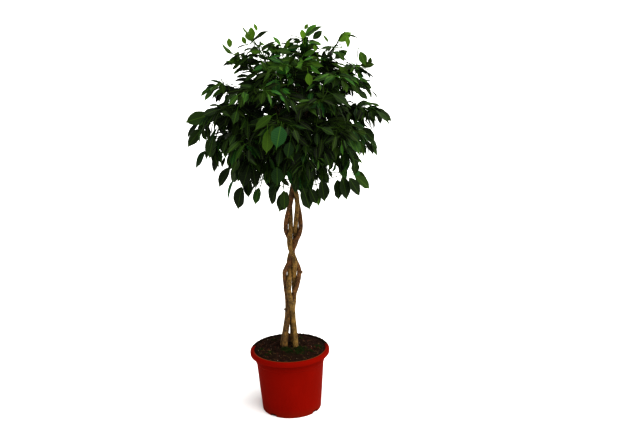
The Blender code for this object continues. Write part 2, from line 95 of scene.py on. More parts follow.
# Pot
POT_HEIGHT = 190 * MM
RIM_RADIUS = 120 * MM
RIM_DEPTH = 15 * MM
RIM_WIDTH = 12 * MM
RIM_ROUND = 7 * MM
COLLAR_DEPTH = 24 * MM
COLLAR_STEP = 3 * MM
SHOULDER_RADIUS = 101.5 * MM
FOOT_RADIUS = 89 * MM
WALL = 2 * MM
FLOOR = 3 * MM
RIM_LIP, RIM_LIP_ROUND = 0.8 * MM, 1 * MM  # how far the rim is drawn in underneath, and rounder on top
NOTCH_SIZE = Vector((22 * MM, 14 * MM, 8 * MM))
NOTCH_ANGLES = (53, 143, 233, 323)
NOTCH_ROUND = 2.5 * MM

# Soil
SOIL_EDGE = 187.5 * MM
SOIL_CROWN = 198 * MM
SOIL_WAVE = 2.2 * MM
SOIL_WAVES = ((95, 110, 1.0), (210, 160, 0.6))
SOIL_BANK = 1.2 * MM  # how far the loose mix is pushed up against the rim
SOIL_GRID = 1.5 * MM
SOIL_SECTORS = 260
# Moss grows round the stems' feet and in a few patches: across, deep and reach in mm
MOSS_PATCHES = ((8, -42, 24), (38, -28, 18), (-14, -34, 12), (30, -58, 13), (8, 14, 12), (-60, -52, 15),
                (-88, -18, 12), (86, -8, 15), (66, -44, 9), (-46, 56, 13), (30, 62, 11))
MOSS_RISE = 4.5 * MM
MOSS_THICKNESS, MOSS_CLOUDS = (0.7, 0.6), 9 * MM  # how thick it is, how much that varies and over how far
TUFT_LEAFLETS, TUFT_SIDES, TUFT_SUNK = 5, 3, 0.3 * MM
TUFT_CHANCE, TUFT_UPRIGHT = (0.25, 1.0), 1.5  # how mossy the soil has to be for a tuft, and how straight it grows
TUFT_HEIGHTS, TUFT_RADII = (1.4 * MM, 3.0 * MM), (0.42 * MM, 0.08 * MM)
FIBRE_LENGTHS, FIBRE_RADII = (4 * MM, 14 * MM), (0.22 * MM, 0.55 * MM)
FIBRE_BEND, FIBRE_LIFT = 0.2, 0.5 * MM
LUMPS_CLEAR, FIBRES_CLEAR = 4 * MM, 2 * MM  # of the pot's wall
# Loose lumps: their length, and their height as a share of it
CRUMB_SIZES, SPILT_SIZES, CRUMB_FLATNESS = (0.7 * MM, 1.9 * MM), (0.8 * MM, 2.2 * MM), (0.5, 0.9)
CHIP_SIZES, CHIP_FLATNESS, CHIP_SHARP = (1.8 * MM, 5.2 * MM), (0.18, 0.45), 0.4
GRAIN_SIZES, GRAIN_FLATNESS = (0.8 * MM, 1.7 * MM), (0.6, 0.9)
LUMP_WIDTHS, LUMP_TILT, LUMP_LIFT = (0.45, 0.9), 0.5, 0.1
LUMP_RELIEF, LUMP_KNOBS = 0.45, 1.4
NOISE_REACH = 50  # each lump takes its own place in the noise, up to this far along
LIP_REACH = 0.75  # share of the lip's width that the spilt mix lies on
SPILT = 420  # crumbs of the mix on the back of the pot's lip
# Soil relief: size of the crumbs and how far they stand up
CRUMBS = ((11 * MM, 1.6 * MM), (4.5 * MM, 1.3 * MM), (2.1 * MM, 0.7 * MM))
CRUMBS_SUNK = 0.1  # and how much of that they lie lower

# Plaited trunk, as in the solids
LOWER_COURSE = {
    "a": ((100, -20, -18), (140, -18, -16), (178, -16, -14), (212, -15, -12.5), (247, -12.5, -10),
          (285, -8, -6.5), (310, -5, -4.6), (335, 0, -3.0), (360, 7, -5.8), (390, 16.3, -6.6)),
    "b": ((100, 26, -20), (140, 22, -18), (178, 18, -15), (212, 16, -13.5), (247, 12.5, -11),
          (285, 8, -11), (310, 6, -16), (335, 1.5, -18.6), (360, -4.5, -17.4), (390, -8.8, -11.6)),
    "c": ((100, -32, 20), (140, -28, 16), (178, -23.5, 11), (212, -20, 9.5), (247, -15.5, 8),
          (285, -11.5, 8.3), (310, -10.6, 9.3), (335, -11.2, 8.2), (360, -14, 6), (390, -18, 3.5)),
    "d": ((100, 16, 24), (140, 13, 20), (178, 10, 15), (212, 8.5, 13), (247, 6.0, 11.5),
          (285, 4.0, 12.2), (310, 5.5, 12.0), (335, 7.4, 11.4), (360, 8.2, 10.6), (390, 7.3, 9.0)),
}
WINDING = ((425, 90, 14.5, 7.3), (491, 180, 14.5, 7.3), (565, 270, 14.5, 7.3), (640, 318, 14.8, 7.2),
           (700, 360, 15.2, 7.0), (745, 390, 24, 5), (800, 405, 38, 0), (860, 408, 52, 0),
           (930, 405, 61, 0), (1000, 402, 64, 0))
WINDING_END = 745
WINDING_KEY_SPACING = 16
CURVE_STEPS = 12
WINDING_WAY = {"a": 1, "b": -1, "c": 1, "d": -1}
WINDING_START = {"a": 0, "b": 0, "c": 180, "d": 180}
STEM_GIRTH = ((100, 8.8), (178, 8.2), (247, 7.5), (300, 7.05), (360, 6.9), (425, 6.6), (491, 6.5),
              (565, 6.6), (640, 6.4), (700, 6.0), (800, 4.8), (900, 3.5), (1000, 2.6))
STEM_RINGS = (*range(100, 290, 37), *range(300, 700, 16), *range(712, 1001, 36))
LEAN = 0.0624
LEAN_FOOT = 178 * MM
LEAN_TOP = 660 * MM
KNOTS = (("a", 426, 95), ("c", 307, -80), ("d", 356, 150), ("b", 590, -160))
KNOT_LENGTH = 11 * MM
KNOT_RISE = 0.35
KNOT_RADIUS = 2.6 * MM
# Share of the stub's length, and how thick it is there
KNOT_SHAPE = ((0.3, 1.9), (0.55, 1.7), (0.7, 1.2), (0.85, 1.0), (0.97, 0.95), (1.0, 0.75))

# Bark
BARK_RING = 2.5 * MM
BARK_SIDES = 22
ROUND_SHARE = 1.04  # of the six-sided solid's girth: bark bulges a little over it
# Where stems lie close they have thickened until they meet: height, and how far that has gone
PRESSED = ((376, 0), (386, 1), (470, 1), (482, 0), (492, 0), (502, 1), (560, 1), (576, 0))
PRESSED_ASIDE = (11 * MM, 14 * MM)
PRESSED_MOST = 1.9 * MM
BARK_TOP = 1000 * MM
# Ridges and finer wrinkles: how close they are round the stem and how long along it
RIDGES, RIDGE_LENGTH = 2.2, 16 * MM
WRINKLES, WRINKLE_LENGTH, WRINKLE_HEIGHT = 5.5, 5 * MM, 0.5
LEAF_SCAR_SPACING, LEAF_SCAR_SLANT = 41 * MM, 0.25
LEAF_SCAR_WIDTH, LEAF_SCAR_HEIGHT = 1.6 * MM, 1.1
FOOT_FLARE = 0.10
FOOT_FLARE_HEIGHT = 22 * MM
KNOT_SIDES, KNOT_RELIEF = 10, 0.5
BRANCH_STEPS, BRANCH_SIDES, BRANCH_RELIEF = 9, 9, 0.3
BRANCH_FOOT = 1.25  # how much a branch is swollen next to its stem
SUNNED_STEMS = ("b", "d")

# Head, as in the solids
HEAD_CENTRE = Vector((0.030, 0.0, 0.878))
HEAD_RADII = Vector((0.222, 0.218, 0.192))
OUTLINE_TIPS = (
    (-64, -30, 1108), (74, 10, 1102), (164, 10, 1086), (-118, 10, 1064), (218, -20, 1026), (-218, -30, 890),
    (260, 10, 902), (-130, -50, 730), (212, -30, 740), (6, -128, 714), (96, -100, 712), (-168, 20, 980),
    (-208, -10, 806), (242, 20, 808), (-60, -60, 708), (10, 30, 1078),
)
SPREAD_DIRECTIONS = 34
SPREAD_APART = math.radians(19)
LOWEST_DIRECTION = -0.93
START_SHARE = 0.38
START_LIFT = (12 * MM, 30 * MM)
TWIG_ARCH = (20 * MM, 35 * MM)
FORK_DROP = 0.62
FORK_HEIGHTS = (735 * MM, 985 * MM)
BRANCH_RADII = (3.0 * MM, 2.1 * MM)
BRANCH_SEGMENTS = 3
BRANCH_END = 8 * MM
BRANCH_BEND = 0.4
TWIG_RADII = (2.0 * MM, 1.4 * MM)
TWIG_SEGMENTS = 4
WOOD_CLEARANCE = 1.2 * MM
WOOD_SAMPLES = 3 * MM
WOOD_SHIFT = 40 * MM
WOOD_TRIES = 40

# Leaves, as in the solids
LEAVES_PER_SHOOT = 8
LEAF_PLACES = (0.2, 0.98)
PLACE_PLAY = 0.2
LEAF_LENGTHS = (76 * MM, 58 * MM)
LENGTH_PLAY = 0.14
YOUNG_SHORTER = 0.25
LEAF_ARCH = 0.16
PETIOLE = 14 * MM
LEAF_SPREAD = math.radians(66)
SPREAD_PLAY = 0.7
RISE_PLAY = 0.8
OUTWARD_PULL = 0.25
DROOP = (0.85, 0.25)
DROOP_PLAY = 0.35
FACING = (0.7, 0.75, 0.35)  # how much a leaf faces outwards, to the front and up
FACING_PLAY = 0.65
BLADE_SECTIONS = ((0.17, 0.19, 1.6 * MM), (0.50, 0.245, 1.6 * MM), (0.80, 0.095, 1.2 * MM))
STALK_HALF_WIDTH = 0.75 * MM
STALK_THICKNESS = 1.5 * MM
RIB_ABOVE = 0.4
SHARPEST_BEND = 0.35
LEAF_CLEARANCE = 0.9 * MM
LEAF_TRIES = 30
LOOSENESS = (0.25, 1.0)
SHORTER_FROM = 18
TRY_SHORTER = 0.18

# The finer leaf: share of the blade's length and half width as a share of it
BLADE_OUTLINE = ((0.0, 0.012), (0.05, 0.078), (0.12, 0.145), (0.22, 0.203), (0.34, 0.238), (0.48, 0.249),
                 (0.60, 0.230), (0.71, 0.180), (0.79, 0.120), (0.86, 0.055), (0.92, 0.018), (1.0, 0.004))
SMALL_OUTLINE = tuple(BLADE_OUTLINE[i] for i in (0, 2, 3, 5, 6, 7, 9, 11))
BLADE_ACROSS = (-1.0, -0.5, 0.0, 0.5, 1.0)
BLADE_THICKNESS = 0.45 * MM
BLADE_FOLD = 0.20  # how far the margins stand above the rib, as a share of the half width
BLADE_WAVE = 0.09
FOLD_PLAY, WAVE_PLAY = (0.5, 1.5), (0.3, 1.5)
MARGIN_WAVE, MARGIN_TURNS = 0.05, 15
WAVE_TURNS = 9
MARGINS_APART = 1.7  # the two margins don't wave together
FOLD_LEVEL, EDGE_THINNER = 0.4, 0.7
BREADTHS, SMALL_BREADTHS = (0.78, 0.98), (0.58, 0.92)
TIP_DROOP, TIP_FROM = 0.05, 0.75
STALK_RADIUS = 0.75 * MM
STALK_TAPER = 0.7
STALK_BEND = 0.8  # share of the stalk that runs straight on before it bends to the blade
STALK_UNDER = 2.5  # how many mm it runs on under the blade
BUD_LENGTH, BUD_WIDEST = 9 * MM, 0.3
BUD_RADII = (1.1 * MM, 1.1 * MM, 0.15 * MM)
TWIG_STEPS = 14
YOUNG_SHOOT = 0.9  # above this height in the head a whole shoot is in young leaf
SHOOT_YOUTH = 0.1  # how much younger its leaves are
# Leaves are young above this height in the head, and beyond this share of their twig
YOUNG_ABOVE, YOUNG_RISE, YOUNG_BEYOND, YOUNG_MOST = 0.5, 1.3, 0.45, 0.9
AGE_PLAY, SPRIG_AGE_PLAY = (0.5, 1.3), (0.2, 1.2)
TWIG_SIDES, TWIG_GREEN = 7, 0.25  # a twig's wood is brown at 0 and green at 1
SPRIG_SIDES, SPRIG_GREEN = 6, 0.4
UPPER, UNDER, TWIG = 0, 1, 2
YOUTH_PLAY = 0.2
TONE_BIAS = 2.6  # most leaves are dark, few are light
COOL_BIAS = 1.6  # and few are of the bluer green
SHADE_FROM, SHADE_DEPTH = 0.55, 0.7  # how deep in the head the shade is full, and how much it darkens
# Painted light: leaves high in the head are painted lighter and those low in it darker, as the light falls from
# above
TOP_LIGHT = (-0.6, 0.15, 0.75), (0.78, 0.22, 1.7)  # heights in the head, and how light the leaves are there

# Side sprigs, which fill the head between the shoots of the solids
SPRIG_LENGTHS = (92 * MM, 46 * MM)
SPRIG_PLACES = (0.04, 0.92)
SPRIG_SPREAD = math.radians(52)
SPRIG_SEGMENTS = 4
SPRIG_RADII = (1.2 * MM, 0.8 * MM)
SPRIG_LEAF_LENGTHS = (58 * MM, 40 * MM)
SPRIG_LEAF_PLAY = (0.68, 1.15)
SPRIG_FACING = (0.6, 0.25, 0.8)
SPRIG_FACING_PLAY = 0.9
SPRIG_LEAF_TRIES = 14
SPRIG_CLEARANCE = 0.25 * MM
SPRIG_SAG, SPRIG_RISE, SPRIG_MIDDLE = 0.22, 0.08, 0.55
SPRIG_TURN_PLAY, SPRIG_REACH_PLAY = (0.8, 1.2), (0.85, 1.1)
SPRIG_OUTWARD_MOST, SPRIG_WANDER = 0.5, 0.25  # how much a sprig heads out of the head, and any other way
SPRIG_END = 0.02  # share of the sprig that is left beyond its last leaf
HEAD_LIMIT = 1.22
LOWEST_LEAF = 688 * MM  # within this radius of the trunk, and higher outside it:
HEAD_FOOT, HEAD_RISE = 75 * MM, 0.5

# Leaves that stand out in the photograph, measured there: neck and tip in mm, how many degrees the blade is
# turned from the viewer, how much painted light it has and how young (below 0: how much bluer)
SHOWN_LEAVES = (
    ((-198, -20, 901), (-269, -20, 886), 10, 0.36, 0.03), ((-161, -69, 907), (-197, -69, 895), 45, 0.3, 0.09),
    ((-153, -65, 997), (-190, -65, 979), 55, 0.3, 0.18), ((-155, -48, 993), (-151, -48, 962), 0, 0.24, 0.18),
    ((-67, -28, 1110), (-70, -28, 1146), 0, 0.7, 0.75), ((-64, -44, 1106), (-22, -44, 1140), 60, 0.1, 0),
    ((-90, 23, 1096), (-99, 23, 1118), 0, 0.6, 0.7), ((-72, -60, 1100), (-117, -60, 1092), 70, 0.1, 0),
    ((-132, -5, 1089), (-133, -5, 1117), 15, 0.5, 0.55), ((-123, -3, 1048), (-160, -3, 1043), 60, 0, 0),
    ((-84, -61, 1076), (-131, -61, 1066), 70, 0.05, 0), ((-45, 23, 1069), (-10, 23, 1095), 50, 0.35, 0),
    ((-81, -43, 1056), (-117, -43, 1038), 45, 0.35, 0), ((34, -30, 1105), (24, -30, 1084), 15, 0.5, 0.7),
    ((36, 17, 1067), (-8, 17, 1077), 30, 0.5, 0.1), ((-51, -65, 1134), (-57, -65, 1156), 45, 0.6, 0.6),
    ((0, -172, 1013), (-3, -172, 972), 0, 0.45, -0.6), ((-108, -161, 931), (-120, -161, 894), 0, 0.55, 0),
    ((-13, -215, 922), (-66, -215, 890), 40, 0.42, 0.18), ((-39, -101, 1053), (-24, -101, 1026), 0, 0.6, 0.1),
    ((-90, -160, 968), (-99, -160, 936), 0, 0.3, 0.12), ((-35, -183, 979), (-42, -183, 948), 0, 0.27, 0.15),
    ((-84, -124, 987), (-147, -124, 960), 65, 0.36, 0), ((73, -64, 1109), (71, -64, 1137), 15, 0.6, 0.85),
    ((77, 19, 1131), (87, 19, 1147), 0, 0.5, 0.6), ((81, -34, 1112), (127, -34, 1146), 65, 0.5, 0.05),
    ((100, -39, 1107), (126, -39, 1130), 0, 0.4, 0), ((141, 21, 1094), (129, 21, 1117), 55, 0.3, 0.3),
    ((107, -62, 1075), (102, -62, 1093), 0, 0.5, 0.7), ((154, 1, 1073), (115, 1, 1074), 60, 0.45, 0),
    ((192, -9, 1110), (200, -9, 1076), 45, 0.5, 0.7), ((192, -58, 1115), (227, -58, 1110), 70, 0.1, 0.1),
    ((160, 24, 1049), (197, 24, 1073), 25, 0.45, 0.1), ((167, -48, 1070), (187, -48, 1045), 30, 0.4, 0.1),
    ((228, -24, 1065), (244, -24, 1026), 0, 0.85, 0.2), ((256, 13, 1027), (259, 13, 1051), 35, 0.24, 0.2),
    ((214, -65, 1027), (271, -65, 1002), 75, 0.06, 0), ((169, -45, 1024), (196, -45, 1001), 0, 0.36, 0.3),
    ((185, -24, 1001), (250, -24, 984), 70, 0.18, 0), ((84, -162, 1025), (88, -162, 989), 0, 0.54, 0.6),
    ((47, -110, 1057), (70, -110, 1027), 0, 0.5, 0), ((177, -105, 996), (192, -105, 964), 40, 0.36, 0.42),
    ((200, -63, 986), (227, -63, 955), 35, 0.3, 0.09), ((215, -29, 960), (253, -29, 938), 40, 0.21, 0.03),
    ((251, -62, 928), (282, -62, 922), 55, 0.3, 0.06), ((242, 22, 906), (270, 22, 869), 0, 0.36, 0.21),
    ((266, -39, 904), (317, -39, 862), 65, 0.36, 0.03), ((146, -147, 964), (201, -147, 931), 50, 0.24, 0),
    ((-227, 19, 856), (-277, 19, 809), 30, 0.24, 0.03), ((-184, -64, 852), (-207, -64, 785), 25, 0.3, 0.03),
    ((-181, 6, 788), (-207, 6, 733), 45, 0.03, 0), ((-115, -98, 793), (-139, -98, 752), 20, 0.3, 0.09),
    ((-144, -70, 761), (-187, -70, 708), 40, 0.12, 0), ((-88, -70, 765), (-116, -70, 700), 25, 0.12, 0),
    ((-92, -70, 731), (-103, -70, 671), 30, 0.15, 0), ((-113, -70, 706), (-136, -70, 637), 30, 0.12, 0),
    ((-76, -115, 765), (-66, -115, 708), 40, 0.06, 0), ((-15, -115, 707), (-35, -115, 659), 40, 0.12, 0),
    ((15, -115, 697), (-15, -115, 638), 15, 0.21, 0), ((10, -228, 895), (-1, -273, 848), 0, 0.42, -1),
    ((-25, -209, 883), (-25, -209, 816), 35, 0.45, 0.4), ((31, -211, 852), (22, -211, 807), 0, 0.25, -0.5),
    ((-8, -157, 776), (-10, -157, 721), 0, 0.3, -0.5), ((47, -115, 738), (31, -115, 691), 35, 0.24, 0),
    ((228, -5, 852), (270, -5, 811), 0, 0.27, 0), ((204, -60, 771), (210, -60, 725), 25, 0.21, 0.03),
    ((187, -115, 731), (223, -115, 679), 35, 0.15, 0), ((208, -70, 726), (252, -70, 690), 30, 0.3, 0.15),
    ((154, -115, 727), (162, -115, 667), 30, 0.15, 0), ((168, -115, 735), (187, -115, 666), 35, 0.18, 0),
    ((110, -115, 728), (124, -115, 662), 30, 0.12, 0), ((59, -115, 707), (82, -115, 641), 25, 0.18, 0),
    ((78, -115, 704), (99, -115, 658), 20, 0.12, 0), ((114, -193, 884), (153, -193, 867), 40, 0.36, 0),
    ((-76, -20, 1022), (-117, -20, 1028), 50, 0.05, 0), ((-79, -60, 1013), (-118, -60, 1016), 55, 0.1, 0),
    ((-76, -30, 1000), (-126, -30, 1005), 60, 0.05, 0), ((-68, -70, 990), (-114, -70, 998), 50, 0.12, 0),
    ((-58, -80, 1020), (-94, -80, 1006), 40, 0.2, 0), ((-41, -100, 1005), (-69, -100, 985), 40, 0.15, 0),
)
SHOWN_BREADTH = 1.1
OLD_BROADER = 0.15  # how much broader the bluest of them are
SHOWN_TWIG = (1.2 * MM, 0.9 * MM)
SHOWN_ROOTS = [0.2 + 0.1 * i for i in range(9)]  # shares of a shoot where the twig of such a leaf may grow
SHOWN_STEP = 6 * MM  # how much further forward each try sets it
SHOWN_TRIES = 9
TO_VIEWER = Vector((0.0, -0.97, 0.24))

# Stage
LENS, SENSOR_WIDTH = 50.0, 36.0
FLOOR_REACH = 25.0
FLOOR_SPREAD, FLOOR_RIM = 2.8, 8.5  # beyond its reach the floor slopes up gently and hides the horizon
KEY_FROM = Vector((0.65, -0.5, 1.3))  # the way to the key light
KEY_WIDTH = math.radians(80)
CAMERA_PLACE = Vector((0.104, -2.515, 1.228))
CAMERA_PITCH = math.radians(13.89)
CAMERA_ROLL = math.radians(-1.77)


def linear(code):
    """Linear colour of an sRGB hex code."""
    parts = [int(code[i:i + 2], 16) / 255 for i in (1, 3, 5)]
    return tuple(p / 12.92 if p <= 0.04045 else ((p + 0.055) / 1.055) ** 2.4 for p in parts)


def colour_property(name, description, code):
    """A colour setting whose default is an sRGB hex code."""
    return FloatVectorProperty(
        name=name, description=description, subtype="COLOR", min=0, max=1, default=linear(code))


class PotSettings(bpy.types.PropertyGroup):
    colour: colour_property("Colour", "Colour of the pot's plastic", "#6E0D00")
    roughness: FloatProperty(
        name="Roughness", description="How dull the moulded wall is", default=0.7, min=0, max=1, subtype="FACTOR")
    sides: IntProperty(name="Sides", description="Sides of the pot's round", default=144, min=32)


class SoilSettings(bpy.types.PropertyGroup):
    colour: colour_property("Colour", "Colour of the moist mix", "#22140C")
    moss: colour_property("Moss", "Colour of the moss", "#18240A")
    crumbs: IntProperty(name="Crumbs", description="Loose crumbs of peat on the soil", default=1500, min=0)
    chips: IntProperty(name="Bark chips", description="Bark chips on the soil", default=260, min=0)
    fibres: IntProperty(name="Fibres", description="Pale wood fibres on the soil", default=70, min=0)
    grains: IntProperty(name="Grains", description="White perlite grains on the soil", default=22, min=0)
    tufts: IntProperty(name="Moss tufts", description="Tufts of moss round the stems", default=1734, min=0)


class TrunkSettings(bpy.types.PropertyGroup):
    relief: FloatProperty(
        name="Bark relief", description="Depth of the bark's ridges", default=0.45 * MM, min=0, subtype="DISTANCE")
    tan: colour_property("Tan bark", "Colour of the sunned stems", "#6B532A")
    brown: colour_property("Brown bark", "Colour of the shaded stems", "#5D4023")


class FoliageSettings(bpy.types.PropertyGroup):
    leaf: colour_property("Leaf", "Colour of a well-lit leaf's upper side", "#304720")
    cool: colour_property("Cool leaf", "Colour of the well-lit leaves that are a bluer green", "#1F5226")
    # The shaded colour is the darkest end of the leaves' tone, which holds their painted shade
    shaded: colour_property("Shaded leaf", "Colour of a leaf that grew in the shade", "#0E110A")
    young: colour_property("Young leaf", "Colour of a young leaf", "#4E6A1A")
    under: colour_property("Underside", "Colour of a well-lit leaf's underside", "#2C3F20")
    gloss: FloatProperty(
        name="Gloss", description="Roughness of the waxy upper side", default=0.5, min=0, max=1, subtype="FACTOR")
    sprigs: IntProperty(name="Sprigs", description="Side sprigs on each shoot", default=12, min=0)
    sprig_leaves: IntProperty(name="Leaves", description="Leaves on each side sprig", default=7, min=1)


class StageSettings(bpy.types.PropertyGroup):
    floor: colour_property("Floor", "Colour of the floor", "#F0F0EE")
    surround: FloatProperty(
        name="Surround", description="Strength of the light from all round", default=0.5, min=0)
    key: FloatProperty(name="Key", description="Strength of the main light", default=4.1, min=0)


def fill(tree, node, inputs):
    """Gives each input its value, or links it to an output or to the first enabled output of a node."""
    for name, value in inputs.items():
        if isinstance(value, bpy.types.Node):
            value = next(out for out in value.outputs if out.enabled)
        if isinstance(value, bpy.types.NodeSocket):
            tree.links.new(value, node.inputs[name])
        else:
            node.inputs[name].default_value = value


def add_node(tree, kind, inputs=(), **settings):
    """A new shader node with its settings.

    inputs is a dictionary, or a list for the enabled inputs in their order: a Map Range has its value, the two ends
    of the old range and the two of the new one, and a Mix its factor and two colours.
    """
    made = tree.nodes.new("ShaderNode" + kind)
    for name, value in settings.items():
        setattr(made, name, value)
    if not isinstance(inputs, dict):
        inputs = dict(zip([i for i, socket in enumerate(made.inputs) if socket.enabled], inputs))
    fill(tree, made, inputs)
    return made


def new_material(name, roughness, ior, specular=0.5):
    """A material with its shader, whose constant values stand on the shader's own sockets."""
    made = bpy.data.materials.new(name)
    made.use_nodes = True
    shader = made.node_tree.nodes["Principled BSDF"]
    fill(made.node_tree, shader, {"Roughness": roughness, "IOR": ior, "Specular IOR Level": specular})
    return made, made.node_tree, shader


def shade(colour, times=1.0):
    """A colour made darker or lighter, with its alpha."""
    return (*(c * times for c in colour), 1.0)


def mesh_of(obj):
    """A new mesh of an object with its bevel or its modifiers applied."""
    bpy.context.view_layer.update()
    return bpy.data.meshes.new_from_object(obj.evaluated_get(bpy.context.evaluated_depsgraph_get()))


def welded(shape, name):
    """A mesh of the bmesh shape, with its doubled points joined and its faces turned out."""
    bmesh.ops.remove_doubles(shape, verts=shape.verts, dist=0.001 * MM)
    bmesh.ops.recalc_face_normals(shape, faces=shape.faces)
    mesh = bpy.data.meshes.new(name)
    shape.to_mesh(mesh)
    shape.free()
    return mesh


def tube(name, points, radii):
    """A four-sided tube along the points with flat ends."""
    curve = bpy.data.curves.new(name, "CURVE")
    curve.dimensions = "3D"
    curve.bevel_depth = 1.0
    curve.bevel_resolution = 0
    curve.use_fill_caps = True
    spline = curve.splines.new("POLY")
    spline.points.add(len(points) - 1)
    for held, point, radius in zip(spline.points, points, radii):
        held.co = (*point, 1.0)
        held.radius = radius
    guide = bpy.data.objects.new(name, curve)
    bpy.context.scene.collection.objects.link(guide)
    shape = bmesh.new()
    shape.from_mesh(mesh_of(guide))
    bpy.data.objects.remove(guide, do_unlink=True)
    return welded(shape, name)


def shoulder_height():
    """Height of the pot's shoulder, where its collar begins."""
    return POT_HEIGHT - RIM_DEPTH - COLLAR_DEPTH


def wall_radius(z):
    """Outer radius of the pot's plain wall."""
    return FOOT_RADIUS + (SHOULDER_RADIUS - FOOT_RADIUS) * z / shoulder_height()


def smooth_rise(keys, heights):
    """Points at the given heights on a smooth curve that rises through the keys."""
    keys = [Vector(k) for k in keys]
    held = [2 * keys[0] - keys[1], *keys, 2 * keys[-1] - keys[-2]]
    fine = []
    for p0, p1, p2, p3 in zip(held, held[1:], held[2:], held[3:]):
        for t in (i / CURVE_STEPS for i in range(CURVE_STEPS)):
            bend = (2 * p0 - 5 * p1 + 4 * p2 - p3) * t * t + (3 * p1 - p0 - 3 * p2 + p3) * t**3
            fine.append(0.5 * (2 * p1 + (p2 - p0) * t + bend))
    fine.append(keys[-1])
    xs, ys, zs = zip(*fine)
    return [Vector((np.interp(z, zs, xs), np.interp(z, zs, ys), z)) for z in heights]


def trunk_axis(z):
    """Point at a height on the trunk's leaning middle line."""
    return Vector((LEAN * (min(z, LEAN_TOP) - LEAN_FOOT), 0, z))


def stem_keys(name):
    """Points that a stem's centre line runs through, from its root to its top in the head."""
    for z, across, deep in LOWER_COURSE[name]:
        yield trunk_axis(z * MM) + Vector((across, deep, 0)) * MM
    heights, turns, outs, swings = zip(*WINDING)
    opened = [z for z in heights if z >= WINDING_END]
    levels = (*range(heights[0], WINDING_END, WINDING_KEY_SPACING), *opened)
    way = WINDING_WAY[name]
    for z in levels:
        turn = math.radians(way * np.interp(z, heights, turns) + WINDING_START[name])
        swing = way * np.interp(z, heights, swings) * math.cos(2 * turn)
        out = (np.interp(z, heights, outs) - swing) * MM
        yield trunk_axis(z * MM) + Vector((math.sin(turn), -math.cos(turn), 0)) * out


def stem_radius(z):
    """Radius of each stem at a height."""
    heights, radii = zip(*STEM_GIRTH)
    return float(np.interp(z / MM, heights, radii)) * MM


class Wood:
    """Centre lines and radii of all the wood so far, so that a new branch or twig can be led clear of it."""

    def __init__(self):
        self.points, self.radii, self.owners = [], [], []

    @staticmethod
    def sampled(points, radii):
        """Places and radii close together along a run."""
        for (a, b), (r, s) in zip(zip(points, points[1:]), zip(radii, radii[1:])):
            steps = max(1, round((b - a).length / WOOD_SAMPLES))
            for t in (i / steps for i in range(steps)):
                yield tuple(a.lerp(b, t)), r + (s - r) * t
        yield tuple(points[-1]), radii[-1]

    def add(self, owner, points, radii):
        """Keeps a run of wood for its owner."""
        for point, radius in self.sampled(points, radii):
            self.points.append(point)
            self.radii.append(radius)
            self.owners.append(owner)

    def clear(self, owner, points, radii):
        """True if the run keeps clear of all wood that isn't its owner's."""
        others = np.array([held != owner for held in self.owners])
        held, held_radii = np.array(self.points)[others], np.array(self.radii)[others]
        for point, radius in self.sampled(points, radii):
            if np.any(np.linalg.norm(held - point, axis=1) < held_radii + radius + WOOD_CLEARANCE):
                return False
        return True


def eased(ends, count):
    """Values from the first end to the last, for count segments."""
    return [ends[0] + (ends[1] - ends[0]) * i / count for i in range(count + 1)]


def arc(start, middle, end, count):
    """Points of a bent run from start to end, drawn towards middle."""
    shares = [i / count for i in range(count + 1)]
    return [start * (1 - t) ** 2 + middle * 2 * t * (1 - t) + end * t * t for t in shares]


def head_direction(point):
    """The way from the head's middle to a point, at length 1 on the head's surface."""
    away = point - HEAD_CENTRE
    return Vector([a / r for a, r in zip(away, HEAD_RADII)])


def shoot_tips():
    """Where the shoots end: those of the outline, then an even spread between them by the golden angle."""
    tips = [Vector(tip) * MM for tip in OUTLINE_TIPS]
    taken = [head_direction(tip) for tip in tips]
    golden = math.pi * (3 - math.sqrt(5))
    for i in range(SPREAD_DIRECTIONS):
        z = 1 - 2 * (i + 0.5) / SPREAD_DIRECTIONS
        flat = math.sqrt(1 - z * z)
        way = Vector((flat * math.cos(golden * i), flat * math.sin(golden * i), z))
        if z > LOWEST_DIRECTION and all(way.angle(other) > SPREAD_APART for other in taken):
            tips.append(HEAD_CENTRE + Vector([a * r for a, r in zip(way, HEAD_RADII)]))
    return tips


def random_vector(draw, size):
    """A vector whose parts are drawn between -size and size."""
    return Vector([draw.uniform(-size, size) for _ in range(3)])


class Twig:
    """A run of wood that leaves grow on, in segments of one length."""
    twig = ()

    def at(self, share):
        """Point and direction on the twig at a share of its length."""
        segments = len(self.twig) - 1
        place = share * segments
        i = min(int(place), segments - 1)
        a, b = self.twig[i], self.twig[i + 1]
        return a.lerp(b, place - i), (b - a).normalized()


